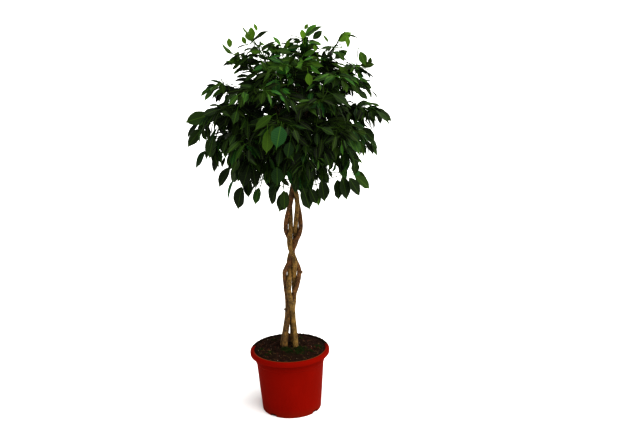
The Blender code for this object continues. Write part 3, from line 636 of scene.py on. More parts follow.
class Shoot(Twig):
    """A bare branch that grows from a stem, and the leafy twig that it ends in."""

    def __init__(self, number, tip):
        self.number = number
        self.tip = tip
        self.crown = head_direction(tip).z
        self.shown = []

    def grow(self, courses, wood):
        """Leads branch and twig from the stem in their quarter of the head to the tip, clear of other wood."""
        draw = random.Random(SEED * 100 + self.number)
        low = max(0.0, -head_direction(self.tip).z)
        for attempt in range(WOOD_TRIES):
            shift = random_vector(draw, WOOD_SHIFT) * attempt / WOOD_TRIES
            lift = UP * (START_LIFT[0] + START_LIFT[1] * low)
            start = HEAD_CENTRE.lerp(self.tip, START_SHARE) + lift + shift
            self.stem = self.quarter(start)
            middle = (start + self.tip) / 2 + UP * (TWIG_ARCH[0] + TWIG_ARCH[1] * low)
            self.twig = arc(start, middle, self.tip, TWIG_SEGMENTS)
            self.course = arc(start, middle, self.tip, TWIG_STEPS)
            self.branch = self.branch_to(start, courses[self.stem])
            branch_clear = wood.clear(self.stem, self.branch, eased(BRANCH_RADII, BRANCH_SEGMENTS))
            if branch_clear and wood.clear(None, self.twig, eased(TWIG_RADII, TWIG_SEGMENTS)):
                break
        else:
            raise RuntimeError(f"no clear way for shoot {self.number}")
        wood.add(self.stem, self.branch, eased(BRANCH_RADII, BRANCH_SEGMENTS))
        wood.add(self.number, self.twig, eased(TWIG_RADII, TWIG_SEGMENTS))

    @staticmethod
    def quarter(point):
        """The stem whose quarter of the head holds the point."""
        right, back = point.x > HEAD_CENTRE.x, point.y > HEAD_CENTRE.y
        return {(True, False): "a", (False, False): "b", (False, True): "c", (True, True): "d"}[right, back]

    def branch_to(self, start, course):
        """Points of the branch, whose last, straight piece runs square to the twig's flat end."""
        reach = (start - HEAD_CENTRE).xy.length
        height = min(max(start.z - FORK_DROP * reach, FORK_HEIGHTS[0]), FORK_HEIGHTS[1])
        fork = min(course, key=lambda p: abs(p.z - height))
        heading = (self.twig[1] - self.twig[0]).normalized()
        end = start - heading * GAP
        knee = end - heading * BRANCH_END
        bend = knee - heading * (knee - fork).length * BRANCH_BEND
        self.fork = fork, bend, knee
        return [*arc(fork, bend, knee, BRANCH_SEGMENTS - 1), end]


def across(vector, direction):
    """The part of a vector that runs square to a direction, at length 1."""
    return (vector - direction * vector.dot(direction)).normalized()


class Leaf:
    """A pose and a length, and the solid that they give: a pointed blade arched along its rib, on its stalk."""

    def __init__(self, root, heading, droop, facing, length):
        self.root = root
        self.heading = heading
        self.neck = root + heading * PETIOLE
        self.along = (heading - UP * droop).normalized()
        self.normal = across(facing, self.along)
        self.length = length
        self.sound = heading.dot(self.along) > SHARPEST_BEND

    def on_rib(self, share):
        """Point on the arched rib at a share of the blade's length."""
        return self.neck + (self.along * share - self.normal * LEAF_ARCH * share * share) * self.length

    def sections(self, corners, extra):
        """Corners of each section, from the stalk's root to the blade's last. The neck's is mitred."""
        normal = self.along.rotation_difference(self.heading) @ self.normal
        side = normal.cross(self.heading) * (STALK_HALF_WIDTH + extra)
        stalk = corners(side, normal, STALK_THICKNESS, extra)
        mitre = self.heading + self.along
        mitre /= self.heading.dot(mitre)
        yield [self.root + corner for corner in stalk]
        yield [self.neck + corner - self.heading * corner.dot(mitre) for corner in stalk]
        for share, half, thick in BLADE_SECTIONS:
            side = self.normal.cross(self.along) * (half * self.length + extra)
            yield [self.on_rib(share) + corner for corner in corners(side, self.normal, thick, extra)]

    def solid(self):
        """Points and faces. Each section is a flat triangle: two edges of the blade, and the rib below."""
        def triangle(side, normal, thick, extra):
            return (normal * RIB_ABOVE * thick - side, normal * RIB_ABOVE * thick + side,
                    normal * (RIB_ABOVE - 1) * thick)

        points = [point for section in self.sections(triangle, 0) for point in section]
        faces = [(0, 2, 1), (0, 1, 4, 3), (0, 3, 5, 2), (1, 2, 5, 4)]
        last = len(points) - 3
        for k in range(3, last, 3):
            left, right, rib = k, k + 1, k + 2
            faces += [(left, right, right + 3), (left, right + 3, left + 3)]
            faces += [(left, left + 3, rib + 3), (left, rib + 3, rib)]
            faces += [(right, rib, rib + 3), (right, rib + 3, right + 3)]
        tip = len(points)
        points.append(self.on_rib(1.0))
        faces += [(last, last + 1, tip), (last, tip, last + 2), (last + 1, last + 2, tip)]
        return points, faces

    def envelope(self, with_stalk, clearance):
        """Points and faces of a box round each section with a clearance, for tests."""
        def box(side, normal, thick, extra):
            above = normal * (RIB_ABOVE * thick + extra)
            below = normal * ((RIB_ABOVE - 1) * thick - extra)
            return above - side, above + side, below + side, below - side

        sections = list(self.sections(box, clearance))
        tip = self.on_rib(1.0)
        end = box(self.normal.cross(self.along) * clearance, self.normal, 0, clearance)
        sections.append([tip + self.along * clearance + corner for corner in end])
        points = [point for section in sections[0 if with_stalk else 1:] for point in section]
        faces = [(3, 2, 1, 0), tuple(range(len(points) - 4, len(points)))]
        for k in range(0, len(points) - 4, 4):
            faces += [(k + i, k + (i + 1) % 4, k + 4 + (i + 1) % 4, k + 4 + i) for i in range(4)]
        return points, faces


class Foliage:
    """Surfaces already in the head, so that a new leaf can be turned until it is clear of them."""

    def __init__(self):
        self.held = []

    @staticmethod
    def measured(solid):
        """A search tree of the solid's surface, its middle and how far it reaches."""
        points, faces = solid
        middle = sum(points, Vector()) / len(points)
        reach = max((p - middle).length for p in points)
        return BVHTree.FromPolygons([tuple(p) for p in points], faces), middle, reach

    def add(self, owner, solid):
        """Keeps a surface for its owner."""
        self.held.append((owner, *self.measured(solid)))

    def add_mesh(self, owner, mesh):
        """Keeps a mesh for its owner."""
        self.add(owner, ([v.co.copy() for v in mesh.vertices], [tuple(f.vertices) for f in mesh.polygons]))

    def clear(self, shoot, leaf, clearance=LEAF_CLEARANCE):
        """True if the leaf crosses nothing, apart from its stalk in its own shoot's twig."""
        whole, middle, reach = self.measured(leaf.envelope(True, clearance))
        blade = self.measured(leaf.envelope(False, clearance))[0]
        for owner, held, spot, size in self.held:
            if (spot - middle).length < reach + size and (blade if owner == shoot else whole).overlap(held):
                return False
        return True


def leaf_slots(draw):
    """Place on the twig, side of it and length of each leaf. The last one ends the twig."""
    first, end = LEAF_PLACES
    last = LEAVES_PER_SHOOT - 1
    for i in range(last + 1):
        share = first + (end - first) * (i + draw.uniform(-PLACE_PLAY, PLACE_PLAY)) / last
        length = LEAF_LENGTHS[0] + (LEAF_LENGTHS[1] - LEAF_LENGTHS[0]) * min(share, 1) ** 2
        length *= 1 + draw.uniform(-LENGTH_PLAY, LENGTH_PLAY)
        yield (end, 0, length) if i == last else (share, (1, -1)[i % 2], length)


def posed_leaf(shoot, share, side, length, draw, attempt, facing=FACING, play=FACING_PLAY):
    """A leaf that hangs out from its twig. Later tries turn it further from where it would rather be."""
    root, along = shoot.at(share)
    outward = (root - HEAD_CENTRE).normalized()
    sideways = along.cross(UP).normalized()
    loose = LOOSENESS[0] + (LOOSENESS[1] - LOOSENESS[0]) * attempt / LEAF_TRIES
    spread = LEAF_SPREAD * side + draw.uniform(-SPREAD_PLAY, SPREAD_PLAY) * loose
    rise = along.cross(sideways) * draw.uniform(-RISE_PLAY, RISE_PLAY) * loose
    heading = along * math.cos(spread) + sideways * math.sin(spread) + outward * OUTWARD_PULL + rise
    height = 0.5 + 0.5 * head_direction(root).z
    droop = DROOP[0] + (DROOP[1] - DROOP[0]) * height + draw.uniform(-DROOP_PLAY, DROOP_PLAY)
    out, light, up = facing
    facing = Vector((outward.x * out, outward.y * out - light, up)) + random_vector(draw, play)
    length *= 1 - YOUNG_SHORTER * max(0.0, head_direction(root).z)
    if attempt >= SHORTER_FROM:
        length *= 1 - TRY_SHORTER
    return Leaf(root, heading.normalized(), droop, facing, length)


def grow_leaves(shoot, foliage):
    """The leaves of a shoot, each turned until it crosses no other leaf, twig or branch."""
    draw = random.Random(SEED * 1000 + shoot.number)
    leaves = []
    for share, side, length in leaf_slots(draw):
        for attempt in range(LEAF_TRIES):
            leaf = posed_leaf(shoot, share, side, length, draw, attempt)
            if leaf.sound and foliage.clear(shoot.number, leaf):
                foliage.add("leaves", leaf.solid())
                leaves.append(leaf)
                break
    return leaves


class Sprig(Twig):
    """A leafy side twig, arched under its own weight."""

    def __init__(self, root, heading, length):
        end = root + heading * length - UP * length * SPRIG_SAG
        middle = root + heading * length * SPRIG_MIDDLE + UP * length * SPRIG_RISE
        self.twig = arc(root, middle, end, SPRIG_SEGMENTS)


def in_head(leaf):
    """True if the leaf stays in the solids' box and doesn't stand out of the round head."""
    low, high = CAD_BOX
    for point in leaf.solid()[0]:
        aside = max(0.0, (point - HEAD_CENTRE).xy.length - HEAD_FOOT)
        if head_direction(point).length > HEAD_LIMIT or point.z < LOWEST_LEAF + HEAD_RISE * aside:
            return False
        if any(p < a or p > b for p, a, b in zip(point, low, high)):
            return False
    return True


def shown_leaf(neck, tip, turn, forward):
    """A leaf from its measured ends. One that is turned away has its upper side towards the light."""
    along = ((Vector(tip) - Vector(neck)) * MM).normalized()
    length = (Vector(tip) - Vector(neck)).length * MM
    facing = across(TO_VIEWER, along)
    side = along.cross(facing)
    side *= math.copysign(math.sin(math.radians(turn)), side.z)
    root = Vector(neck) * MM - along * PETIOLE + TO_VIEWER * forward
    return Leaf(root, along, 0, facing * math.cos(math.radians(turn)) + side, length)


def show_leaves(shoots, foliage):
    """Puts the leaves that stand out in the photograph on the nearest shoots, clear of the leaves already there."""
    for neck, tip, turn, light, young in SHOWN_LEAVES:
        for attempt in range(SHOWN_TRIES):
            leaf = shown_leaf(neck, tip, turn, SHOWN_STEP * attempt)
            if foliage.clear("shown", leaf, SPRIG_CLEARANCE):
                foliage.add("leaves", leaf.solid())
                places = ((shoot, shoot.at(share)[0]) for shoot in shoots for share in SHOWN_ROOTS)
                shoot, start = min(places, key=lambda place: (place[1] - leaf.root).length)
                middle = start.lerp(leaf.root, 0.5) + UP * (start - leaf.root).length * SPRIG_RISE
                shoot.shown.append((arc(start, middle, leaf.root, SPRIG_SEGMENTS), leaf, light, young))
                break


def grow_sprigs(shoot, foliage, count, leaf_count):
    """Side sprigs of a shoot with their leaves, from its tip inwards, each leaf clear of all others."""
    draw = random.Random(SEED * 5000 + shoot.number)
    grown = []
    for k in range(count):
        share = SPRIG_PLACES[1] + (SPRIG_PLACES[0] - SPRIG_PLACES[1]) * k / max(1, count - 1)
        root, along = shoot.at(share)
        outward = (root - HEAD_CENTRE).normalized()
        sideways = along.cross(UP).normalized() * (1, -1)[k % 2]
        spread = SPRIG_SPREAD * draw.uniform(*SPRIG_TURN_PLAY)
        heading = along * math.cos(spread) + sideways * math.sin(spread)
        heading += outward * draw.uniform(0, SPRIG_OUTWARD_MOST)
        heading += random_vector(draw, SPRIG_WANDER)
        reach = SPRIG_LENGTHS[0] + (SPRIG_LENGTHS[1] - SPRIG_LENGTHS[0]) * share
        sprig = Sprig(root, heading.normalized(), reach * draw.uniform(*SPRIG_REACH_PLAY))
        leaves = []
        for i in range(leaf_count):
            place = (i + 1) / leaf_count - SPRIG_END
            side = 0 if i == leaf_count - 1 else (1, -1)[i % 2]
            size = SPRIG_LEAF_LENGTHS[0] + (SPRIG_LEAF_LENGTHS[1] - SPRIG_LEAF_LENGTHS[0]) * place * share
            for attempt in range(SPRIG_LEAF_TRIES):
                length = size * draw.uniform(*SPRIG_LEAF_PLAY)
                leaf = posed_leaf(sprig, place, side, length, draw, 2 * attempt, SPRIG_FACING, SPRIG_FACING_PLAY)
                if leaf.sound and in_head(leaf) and foliage.clear(shoot.number, leaf, SPRIG_CLEARANCE):
                    foliage.add("leaves", leaf.solid())
                    leaves.append(leaf)
                    break
        if leaves:
            grown.append((sprig, leaves))
    return grown


@functools.cache
def plant():
    """The stems' courses, the shoots, and all leaves in the places that the solids give them."""
    rings = [z * MM for z in STEM_RINGS]
    courses = {name: smooth_rise(stem_keys(name), rings) for name in LOWER_COURSE}
    wood = Wood()
    for name, course in courses.items():
        wood.add(name, course, [stem_radius(p.z) for p in course])
    shoots = [Shoot(i + 1, tip) for i, tip in enumerate(shoot_tips())]
    for shoot in shoots:
        shoot.grow(courses, wood)
    foliage = Foliage()
    for name in courses:
        foliage.add_mesh(name, frame["nodes"]["stem_" + name].data)
    for shoot in shoots:
        foliage.add_mesh(shoot.number, tube("twig", shoot.twig, eased(TWIG_RADII, TWIG_SEGMENTS)))
    for shoot in shoots:
        shoot.leaves = grow_leaves(shoot, foliage)
    show_leaves(shoots, foliage)
    settings = bpy.context.scene.fig_foliage
    for shoot in shoots:
        shoot.sprigs = grow_sprigs(shoot, foliage, settings.sprigs, settings.sprig_leaves)
    return shoots


class Gathered:
    """Points, faces, material slots and leaf marks of one piece, gathered from its parts."""

    def __init__(self):
        self.points, self.faces, self.slots, self.places, self.kinds = [], [], [], [], []

    def add(self, points, faces, slots=0, places=None, kind=(0, 0, 0)):
        """Adds a part with the material slots of its faces, its points' places on their leaf and its kind."""
        base = len(self.points)
        self.points += [tuple(p) for p in points]
        self.faces += [tuple(base + i for i in face) for face in faces]
        self.slots += slots if isinstance(slots, list) else [slots] * len(faces)
        self.places += places or [(0, 0, 0)] * len(points)
        self.kinds += [kind] * len(points)

    def mesh(self, name):
        """The piece's mesh, with the leaf marks that its materials read."""
        made = bpy.data.meshes.new(name)
        made.from_pydata(self.points, [], self.faces)
        made.polygons.foreach_set("material_index", self.slots)
        for mark, values in (("leaf_place", self.places), ("leaf_kind", self.kinds)):
            if any(any(value) for value in values):
                held = made.attributes.new(mark, "FLOAT_VECTOR", "POINT")
                held.data.foreach_set("vector", np.array(values, np.float32).ravel())
        return made


def show(name, mesh, finishes, replaced=(), sharp=SHARP_ANGLE):
    """The mesh as a piece that rides on the plant's one body."""
    mesh.materials.clear()
    for finish in finishes:
        mesh.materials.append(finish)
    mesh.shade_smooth()
    mesh.set_sharp_from_angle(angle=sharp)
    piece = bpy.data.objects.new(name, mesh)
    bpy.context.scene.collection.objects.link(piece)
    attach(piece, "root")
    if replaced:
        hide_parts(*replaced)


def sweep(points, radii, sides, relief=None):
    """Points and faces of a closed round tube. relief(x, y, along) raises a point of its unit round."""
    made, along = [], 0.0
    normal = Vector((1, 0.02, 0.01))
    for i, (point, radius) in enumerate(zip(points, radii)):
        ahead = (points[min(i + 1, len(points) - 1)] - points[max(i - 1, 0)]).normalized()
        normal = across(normal, ahead)
        side = ahead.cross(normal)
        for turn in (2 * math.pi * k / sides for k in range(sides)):
            x, y = math.cos(turn), math.sin(turn)
            raised = radius + (relief(x, y, along) if relief else 0)
            made.append(point + (normal * x + side * y) * raised)
        if i + 1 < len(points):
            along += (points[i + 1] - point).length
    faces = [tuple(reversed(range(sides))), tuple(range(len(made) - sides, len(made)))]
    for i in range(0, len(made) - sides, sides):
        for k in range(sides):
            after = (k + 1) % sides
            faces.append((i + k, i + after, i + sides + after, i + sides + k))
    return made, faces


def rounded(corners):
    """A profile through the corners, each rounded off by its third value."""
    line = []
    for i, (r, z, cut) in enumerate(corners):
        here = Vector((r, z))
        if cut:
            before = (Vector(corners[i - 1][:2]) - here).normalized()
            after = (Vector(corners[i + 1][:2]) - here).normalized()
            line += arc(here + before * cut, here, here + after * cut, ROUND_STEPS)
        else:
            line.append(here)
    return line


def turned(name, profile, sides):
    """A closed solid turned about Z from a profile that begins and ends on the axis."""
    shape = bmesh.new()
    line = [shape.verts.new((r, 0, z)) for r, z in profile]
    edges = [shape.edges.new(pair) for pair in zip(line, line[1:])]
    bmesh.ops.spin(shape, geom=line + edges, axis=UP, angle=2 * math.pi, steps=sides, use_merge=True)
    return welded(shape, name)


def plastic_finish(settings):
    """Polypropylene, injection moulded: a smooth satin red wall, a little uneven in tone, dusty at the foot."""
    made, tree, shader = new_material("moulded_polypropylene", settings.roughness, ior=1.49, specular=0.03)
    where = add_node(tree, "TexCoord").outputs["Object"]
    at = add_node(tree, "SeparateXYZ", [where])
    cloud = add_node(tree, "TexNoise", {"Vector": where, "Scale": 16.0, "Detail": 3.0})
    dull, bright = shade(settings.colour, 0.88), shade(settings.colour, 1.14)
    tone = add_node(tree, "Mix", [cloud, dull, bright], data_type="RGBA")
    # Soil dust lies thinly on the lowest 25 mm
    low = add_node(tree, "MapRange", [at.outputs["Z"], 0.0, 25 * MM, 0.5, 0.0])
    specks = add_node(tree, "TexNoise", {"Vector": where, "Scale": 260.0, "Detail": 4.0, "Roughness": 0.7})
    dust = add_node(tree, "Math", [low, specks], operation="MULTIPLY")
    dirty = add_node(tree, "Mix", [dust, tone, shade(linear("#5A3320"))], data_type="RGBA")
    # The top of the lip is dark brown at the back; on its inner edge at the front a tan line is painted, partly dust
    # and partly a painted highlight
    flat = add_node(tree, "Mapping", {"Vector": where, "Scale": (1, 1, 0)})
    out = add_node(tree, "VectorMath", [flat], operation="LENGTH")
    back = add_node(tree, "MapRange", [at.outputs["Y"], 5 * MM, 60 * MM])
    top = add_node(tree, "MapRange", [at.outputs["Z"], 181 * MM, 185 * MM])
    inside = add_node(tree, "MapRange", [out, 116 * MM, 119 * MM, 1.0, 0.0])
    lip = add_node(tree, "Math", [top, inside], operation="MULTIPLY")
    back_lip_top = add_node(tree, "Math", [back, lip], operation="MULTIPLY")
    ragged = add_node(tree, "Math", [back_lip_top, 1.6, specks], operation="MULTIPLY_ADD")
    back_lip_darkening = add_node(tree, "MapRange", [ragged, 0.9, 1.1])
    back_lip_darkened = add_node(tree, "Mix", [back_lip_darkening, dirty, shade(linear("#1E150D"))], data_type="RGBA")
    # Painted highlight, partly dust: a tan line is painted along the lip's inner edge, at the front only
    edge = add_node(tree, "MapRange", [out, 110 * MM, 113.5 * MM, 0.85, 0.0])
    front = add_node(tree, "MapRange", [at.outputs["Y"], -70 * MM, -10 * MM, 1.0, 0.0])
    upper = add_node(tree, "Math", [top, front], operation="MULTIPLY")
    edge_dust_and_highlight = add_node(tree, "Math", [edge, upper], operation="MULTIPLY")
    dusted_and_highlighted = add_node(tree, "Mix", [edge_dust_and_highlight, back_lip_darkened, shade(linear("#6A4A2C"))], data_type="RGBA")
    # The mould's fine grain, 0.2 mm on the real wall, is drawn at 1.5 mm so that it shows
    grain = add_node(tree, "TexNoise", {"Vector": where, "Scale": 650.0, "Detail": 2.0})
    bump = add_node(tree, "Bump", {"Height": grain, "Strength": 0.12, "Distance": 0.3 * MM})
    fill(tree, shader, {"Base Color": dusted_and_highlighted, "Normal": bump})
    return made


def soil_finish(settings):
    """Peat and bark mix, moist: nearly black crumbs with redder bark, and a green film where moss begins."""
    made, tree, shader = new_material("moist_potting_mix", roughness=0.93, ior=1.4, specular=0.15)
    where = add_node(tree, "TexCoord").outputs["Object"]
    # Crumbs of about 3 mm and grit of about 1 mm
    crumbs = add_node(tree, "TexNoise", {"Vector": where, "Scale": 320.0, "Detail": 5.0, "Roughness": 0.65})
    grit = add_node(tree, "TexVoronoi", {"Vector": where, "Scale": 700.0}).outputs["Distance"]
    contrast = add_node(tree, "MapRange", [crumbs, 0.36, 0.66])
    dark, light = shade(settings.colour, 0.45), shade(settings.colour, 1.7)
    brown = add_node(tree, "Mix", [contrast, dark, light], data_type="RGBA")
    moss = add_node(tree, "Attribute", attribute_name="moss").outputs["Fac"]
    film = add_node(tree, "Math", [moss, contrast], operation="MULTIPLY")
    colour = add_node(tree, "Mix", [film, brown, shade(settings.moss, 0.9)], data_type="RGBA")
    bump = add_node(tree, "Bump", {"Height": grit, "Strength": 0.6, "Distance": 0.8 * MM})
    fill(tree, shader, {"Base Color": colour, "Normal": bump})
    return made


def litter_finish(name, dark, light, roughness, scale):
    """Loose matter on the soil: dull, and mottled between a dark and a light tone."""
    made, tree, shader = new_material(name, roughness, ior=1.45, specular=0.2)
    where = add_node(tree, "TexCoord").outputs["Object"]
    mottle = add_node(tree, "TexNoise", {"Vector": where, "Scale": scale, "Detail": 4.0, "Roughness": 0.6})
    spread = add_node(tree, "MapRange", [mottle, 0.33, 0.67])
    colour = add_node(tree, "Mix", [spread, shade(linear(dark)), shade(linear(light))], data_type="RGBA")
    bump = add_node(tree, "Bump", {"Height": mottle, "Strength": 0.5, "Distance": 0.5 * MM})
    fill(tree, shader, {"Base Color": colour, "Normal": bump})
    return made


def bark_finish(name, colour):
    """Young fig bark: thin and dry, streaked along the stem, with pale corky pores, darker weathered patches and
    painted shade inside the head.
    """
    made, tree, shader = new_material(name, roughness=0.78, ior=1.45, specular=0.3)
    where = add_node(tree, "TexCoord").outputs["Object"]
    # Streaks 3 mm wide and five times as long
    stretched = add_node(tree, "Mapping", {"Vector": where, "Scale": (1, 1, 0.2)})
    streaks = add_node(tree, "TexNoise", {"Vector": stretched, "Scale": 290.0, "Detail": 4.0, "Roughness": 0.65})
    patches = add_node(tree, "TexNoise", {"Vector": where, "Scale": 70.0, "Detail": 4.0, "Roughness": 0.65})
    worn = add_node(tree, "MapRange", [patches, 0.38, 0.60])
    # Old bark near the soil is olive
    height = add_node(tree, "SeparateXYZ", [where]).outputs["Z"]
    old = add_node(tree, "MapRange", [height, 240 * MM, 430 * MM, 0.6, 0.0])
    aged = add_node(tree, "Mix", [old, shade(colour), shade(linear("#6A562B"))], data_type="RGBA")
    # Painted shade: from 690 mm up, inside the head, the bark is painted dark and olive where the leaves shade it
    young = add_node(tree, "MapRange", [height, 690 * MM, 750 * MM, 0.0, 0.85])
    grown = add_node(tree, "Mix", [young, aged, shade(linear("#1E1C10"))], data_type="RGBA")
    mottle = add_node(tree, "MapRange", {"Value": worn, "To Min": 1.35, "To Max": 0.48})
    base = add_node(tree, "VectorMath", [grown, mottle], operation="SCALE")
    furrow = add_node(tree, "MapRange", [streaks, 0.34, 0.56, 0.95, 0.0])
    lined = add_node(tree, "Mix", [furrow, base, shade(colour, 0.28)], data_type="RGBA")
    # Pores every 6 mm, wider than high
    squashed = add_node(tree, "Mapping", {"Vector": where, "Scale": (1, 1, 1.9)})
    pores = add_node(tree, "TexVoronoi", {"Vector": squashed, "Scale": 165.0, "Randomness": 1.0}).outputs["Distance"]
    cork = add_node(tree, "MapRange", [pores, 0.18, 0.30, 0.85, 0.0])
    pored = add_node(tree, "Mix", [cork, lined, shade(colour, 1.9)], data_type="RGBA")
    rough = add_node(tree, "Math", [streaks, cork], operation="ADD")
    bump = add_node(tree, "Bump", {"Height": rough, "Strength": 0.55, "Distance": 0.6 * MM})
    fill(tree, shader, {"Base Color": pored, "Normal": bump})
    return made


def leaf_finish(name, tones, young, roughness, rib_light, vein_light=0.25):
    """A fig leaf's skin: waxy above and duller below, with a pale rib and fine even side veins.

    tones are the colours of a leaf in the shade, of one in the light and of the bluest one in the light.
    """
    made, tree, shader = new_material(name, roughness, ior=1.46, specular=0.08)
    place = add_node(tree, "Attribute", attribute_name="leaf_place").outputs["Vector"]
    kind = add_node(tree, "Attribute", attribute_name="leaf_kind").outputs["Vector"]
    at = add_node(tree, "SeparateXYZ", [place])
    tone = add_node(tree, "SeparateXYZ", [kind])
    aside = add_node(tree, "Math", [at.outputs["X"]], operation="ABSOLUTE")
    # No two leaves have quite the same green, and those in the head's painted shade are the darkest
    lit = add_node(tree, "Mix", [tone.outputs["Z"], shade(tones[1]), shade(tones[2])], data_type="RGBA")
    grown = add_node(tree, "Mix", [tone.outputs["X"], shade(tones[0]), lit], data_type="RGBA")
    toned = add_node(tree, "Mix", [tone.outputs["Y"], grown, shade(young)], data_type="RGBA")
    # The rib is 0.6 mm wide, and is drawn up to 1.6 mm wide so that it shows
    rib = add_node(tree, "MapRange", [aside, 0.3 * MM, 1.6 * MM, rib_light, 0.0])
    # Side veins leave the rib at a slant. They are drawn every 5 mm, twice as far apart as on a real leaf
    slant = add_node(tree, "Math", [aside, -0.5, at.outputs["Y"]], operation="MULTIPLY_ADD")
    fold = add_node(tree, "Math", [slant, 2.5 * MM], operation="PINGPONG")
    vein = add_node(tree, "MapRange", [fold, 0.2 * MM, 0.8 * MM, vein_light, 0.0])
    drawn = add_node(tree, "Math", [rib, vein], operation="MAXIMUM")
    # The rib and veins fade on darker leaves, and so also with the leaves' painted shade
    clear = add_node(tree, "MapRange", {"Value": tone.outputs["X"], "To Min": 0.35})
    lines = add_node(tree, "Math", [drawn, clear], operation="MULTIPLY")
    lined = add_node(tree, "Mix", [lines, toned, shade(young, 1.2)], data_type="RGBA")
    bump = add_node(tree, "Bump", {"Height": lines, "Strength": 0.35, "Distance": 0.3 * MM}, invert=True)
    fill(tree, shader, {"Base Color": lined, "Normal": bump})
    return made


def twig_finish(leaf):
    """Green and brown young wood: leaf stalks are green, and twigs brown where they have ripened."""
    made, tree, shader = new_material("ripening_fig_twig", roughness=0.6, ior=1.45)
    where = add_node(tree, "TexCoord").outputs["Object"]
    kind = add_node(tree, "Attribute", attribute_name="leaf_kind").outputs["Vector"]
    green = add_node(tree, "SeparateXYZ", [kind]).outputs["Z"]
    mottle = add_node(tree, "TexNoise", {"Vector": where, "Scale": 300.0, "Detail": 3.0})
    wood = add_node(tree, "Mix", [mottle, shade(linear("#2E2114")), shade(linear("#6B4B2C"))], data_type="RGBA")
    colour = add_node(tree, "Mix", [green, wood, shade(leaf, 2.6)], data_type="RGBA")
    fill(tree, shader, {"Base Color": colour})
    return made


def floor_finish(colour):
    """Matt white studio paint, rolled: nearly even, with a faint texture."""
    made, tree, shader = new_material("rolled_studio_paint", roughness=0.85, ior=1.5)
    where = add_node(tree, "TexCoord").outputs["Object"]
    texture = add_node(tree, "TexNoise", {"Vector": where, "Scale": 5.0, "Detail": 2.0})
    tint = add_node(tree, "Mix", [texture, shade(colour, 0.99), shade(colour, 1.01)], data_type="RGBA")
    fill(tree, shader, {"Base Color": tint})
    return made


class FIG_OT_pot(bpy.types.Operator):
    """Makes the moulded nursery pot with its rolled rim and drainage slots"""
    bl_idname = "fig.make_pot"
    bl_label = "Pot"

    def execute(self, context):
        settings = context.scene.fig_pot
        shoulder, rim_foot = shoulder_height(), POT_HEIGHT - RIM_DEPTH
        collar = SHOULDER_RADIUS + COLLAR_STEP
        # Radius, height and rounding of each corner, from the middle of the underside to that of the floor
        profile = rounded((
            (0, 0, 0), (FOOT_RADIUS, 0, 2.5 * MM), (SHOULDER_RADIUS, shoulder, 2 * MM),
            (collar, shoulder + COLLAR_STEP, 2 * MM), (collar, rim_foot, 1.5 * MM),
            (RIM_RADIUS - RIM_LIP, rim_foot, 2 * MM), (RIM_RADIUS, POT_HEIGHT, RIM_ROUND + RIM_LIP_ROUND),
            (RIM_RADIUS - RIM_WIDTH, POT_HEIGHT, 2.5 * MM), (collar - WALL, rim_foot, 3 * MM),
            (SHOULDER_RADIUS - WALL, shoulder, 1.5 * MM), (FOOT_RADIUS - WALL, FLOOR, 2.5 * MM), (0, FLOOR, 0)))
        shape = bpy.data.objects.new("pot", turned("pot", profile, settings.sides))
        context.scene.collection.objects.link(shape)
        cutters = bpy.data.collections.new("slots")
        for angle in NOTCH_ANGLES:
            block = bmesh.new()
            place = Matrix.Rotation(math.radians(angle), 4, "Z") @ Matrix.Translation((0, -FOOT_RADIUS, 0))
            bmesh.ops.create_cube(block, size=1, matrix=place @ Matrix.Diagonal((*NOTCH_SIZE, 1)))
            bmesh.ops.translate(block, verts=block.verts, vec=UP * (NOTCH_SIZE.z / 2 - GAP))
            bmesh.ops.bevel(block, geom=block.edges[:], offset=NOTCH_ROUND, segments=4, affect="EDGES", profile=0.5)
            cutters.objects.link(bpy.data.objects.new("slot", welded(block, "slot")))
        cut = shape.modifiers.new("slots", "BOOLEAN")
        cut.operation = "DIFFERENCE"
        cut.operand_type = "COLLECTION"
        cut.collection = cutters
        mesh = mesh_of(shape)
        for made in (shape, *cutters.objects):
            bpy.data.objects.remove(made, do_unlink=True)
        bpy.data.collections.remove(cutters)
        show("moulded_pot", mesh, [plastic_finish(settings)], ["nursery_pot"])
        return {"FINISHED"}


def moss_at(x, y):
    """How mossy the soil is there, from 0 to 1."""
    grown = sum(math.exp(-((x - u * MM) ** 2 + (y - v * MM) ** 2) / (r * MM) ** 2) for u, v, r in MOSS_PATCHES)
    return min(1.0, grown) * (MOSS_THICKNESS[0] + MOSS_THICKNESS[1] * noise.noise(Vector((x, y, 0.3)) / MOSS_CLOUDS))


def soil_top(x, y):
    """Height of the soil's surface, with the solids' mound and the crumbs on it."""
    share = min(1.0, math.hypot(x, y) / soil_edge())
    wave = sum(math.sin(u * x + 1) * math.cos(v * y) * high for u, v, high in SOIL_WAVES)
    height = SOIL_EDGE + (SOIL_CROWN - SOIL_EDGE) * (1 - share * share) + wave * SOIL_WAVE * (1 - share**4)
    for i, (size, high) in enumerate(CRUMBS):
        height += high * (noise.noise(Vector((x / size, y / size, i))) - CRUMBS_SUNK)
    return height + MOSS_RISE * moss_at(x, y) + SOIL_BANK * share**12


def soil_collar():
    """Radius of the soil inside the pot's collar."""
    return SHOULDER_RADIUS + COLLAR_STEP - WALL - 2 * GAP


def soil_edge():
    """Radius of the soil inside the rim."""
    heights, radii = (POT_HEIGHT - RIM_DEPTH, POT_HEIGHT), (soil_collar(), RIM_RADIUS - RIM_WIDTH - 2 * GAP)
    return float(np.interp(SOIL_EDGE, heights, radii))


def on_soil(draw):
    """A random place on the soil's surface."""
    x, y = scattered(draw)
    return Vector((x, y, soil_top(x, y)))


def on_lip(draw):
    """A random place on the back of the pot's lip, where the mix was spilt."""
    turn, out = draw.triangular(0, math.pi), draw.uniform(0, LIP_REACH * RIM_WIDTH)
    radius = RIM_RADIUS - RIM_WIDTH + out
    drop = RIM_ROUND - math.sqrt(max(0.0, RIM_ROUND**2 - max(0.0, out - (RIM_WIDTH - RIM_ROUND))**2))
    return Vector((radius * math.cos(turn), radius * math.sin(turn), POT_HEIGHT - drop))


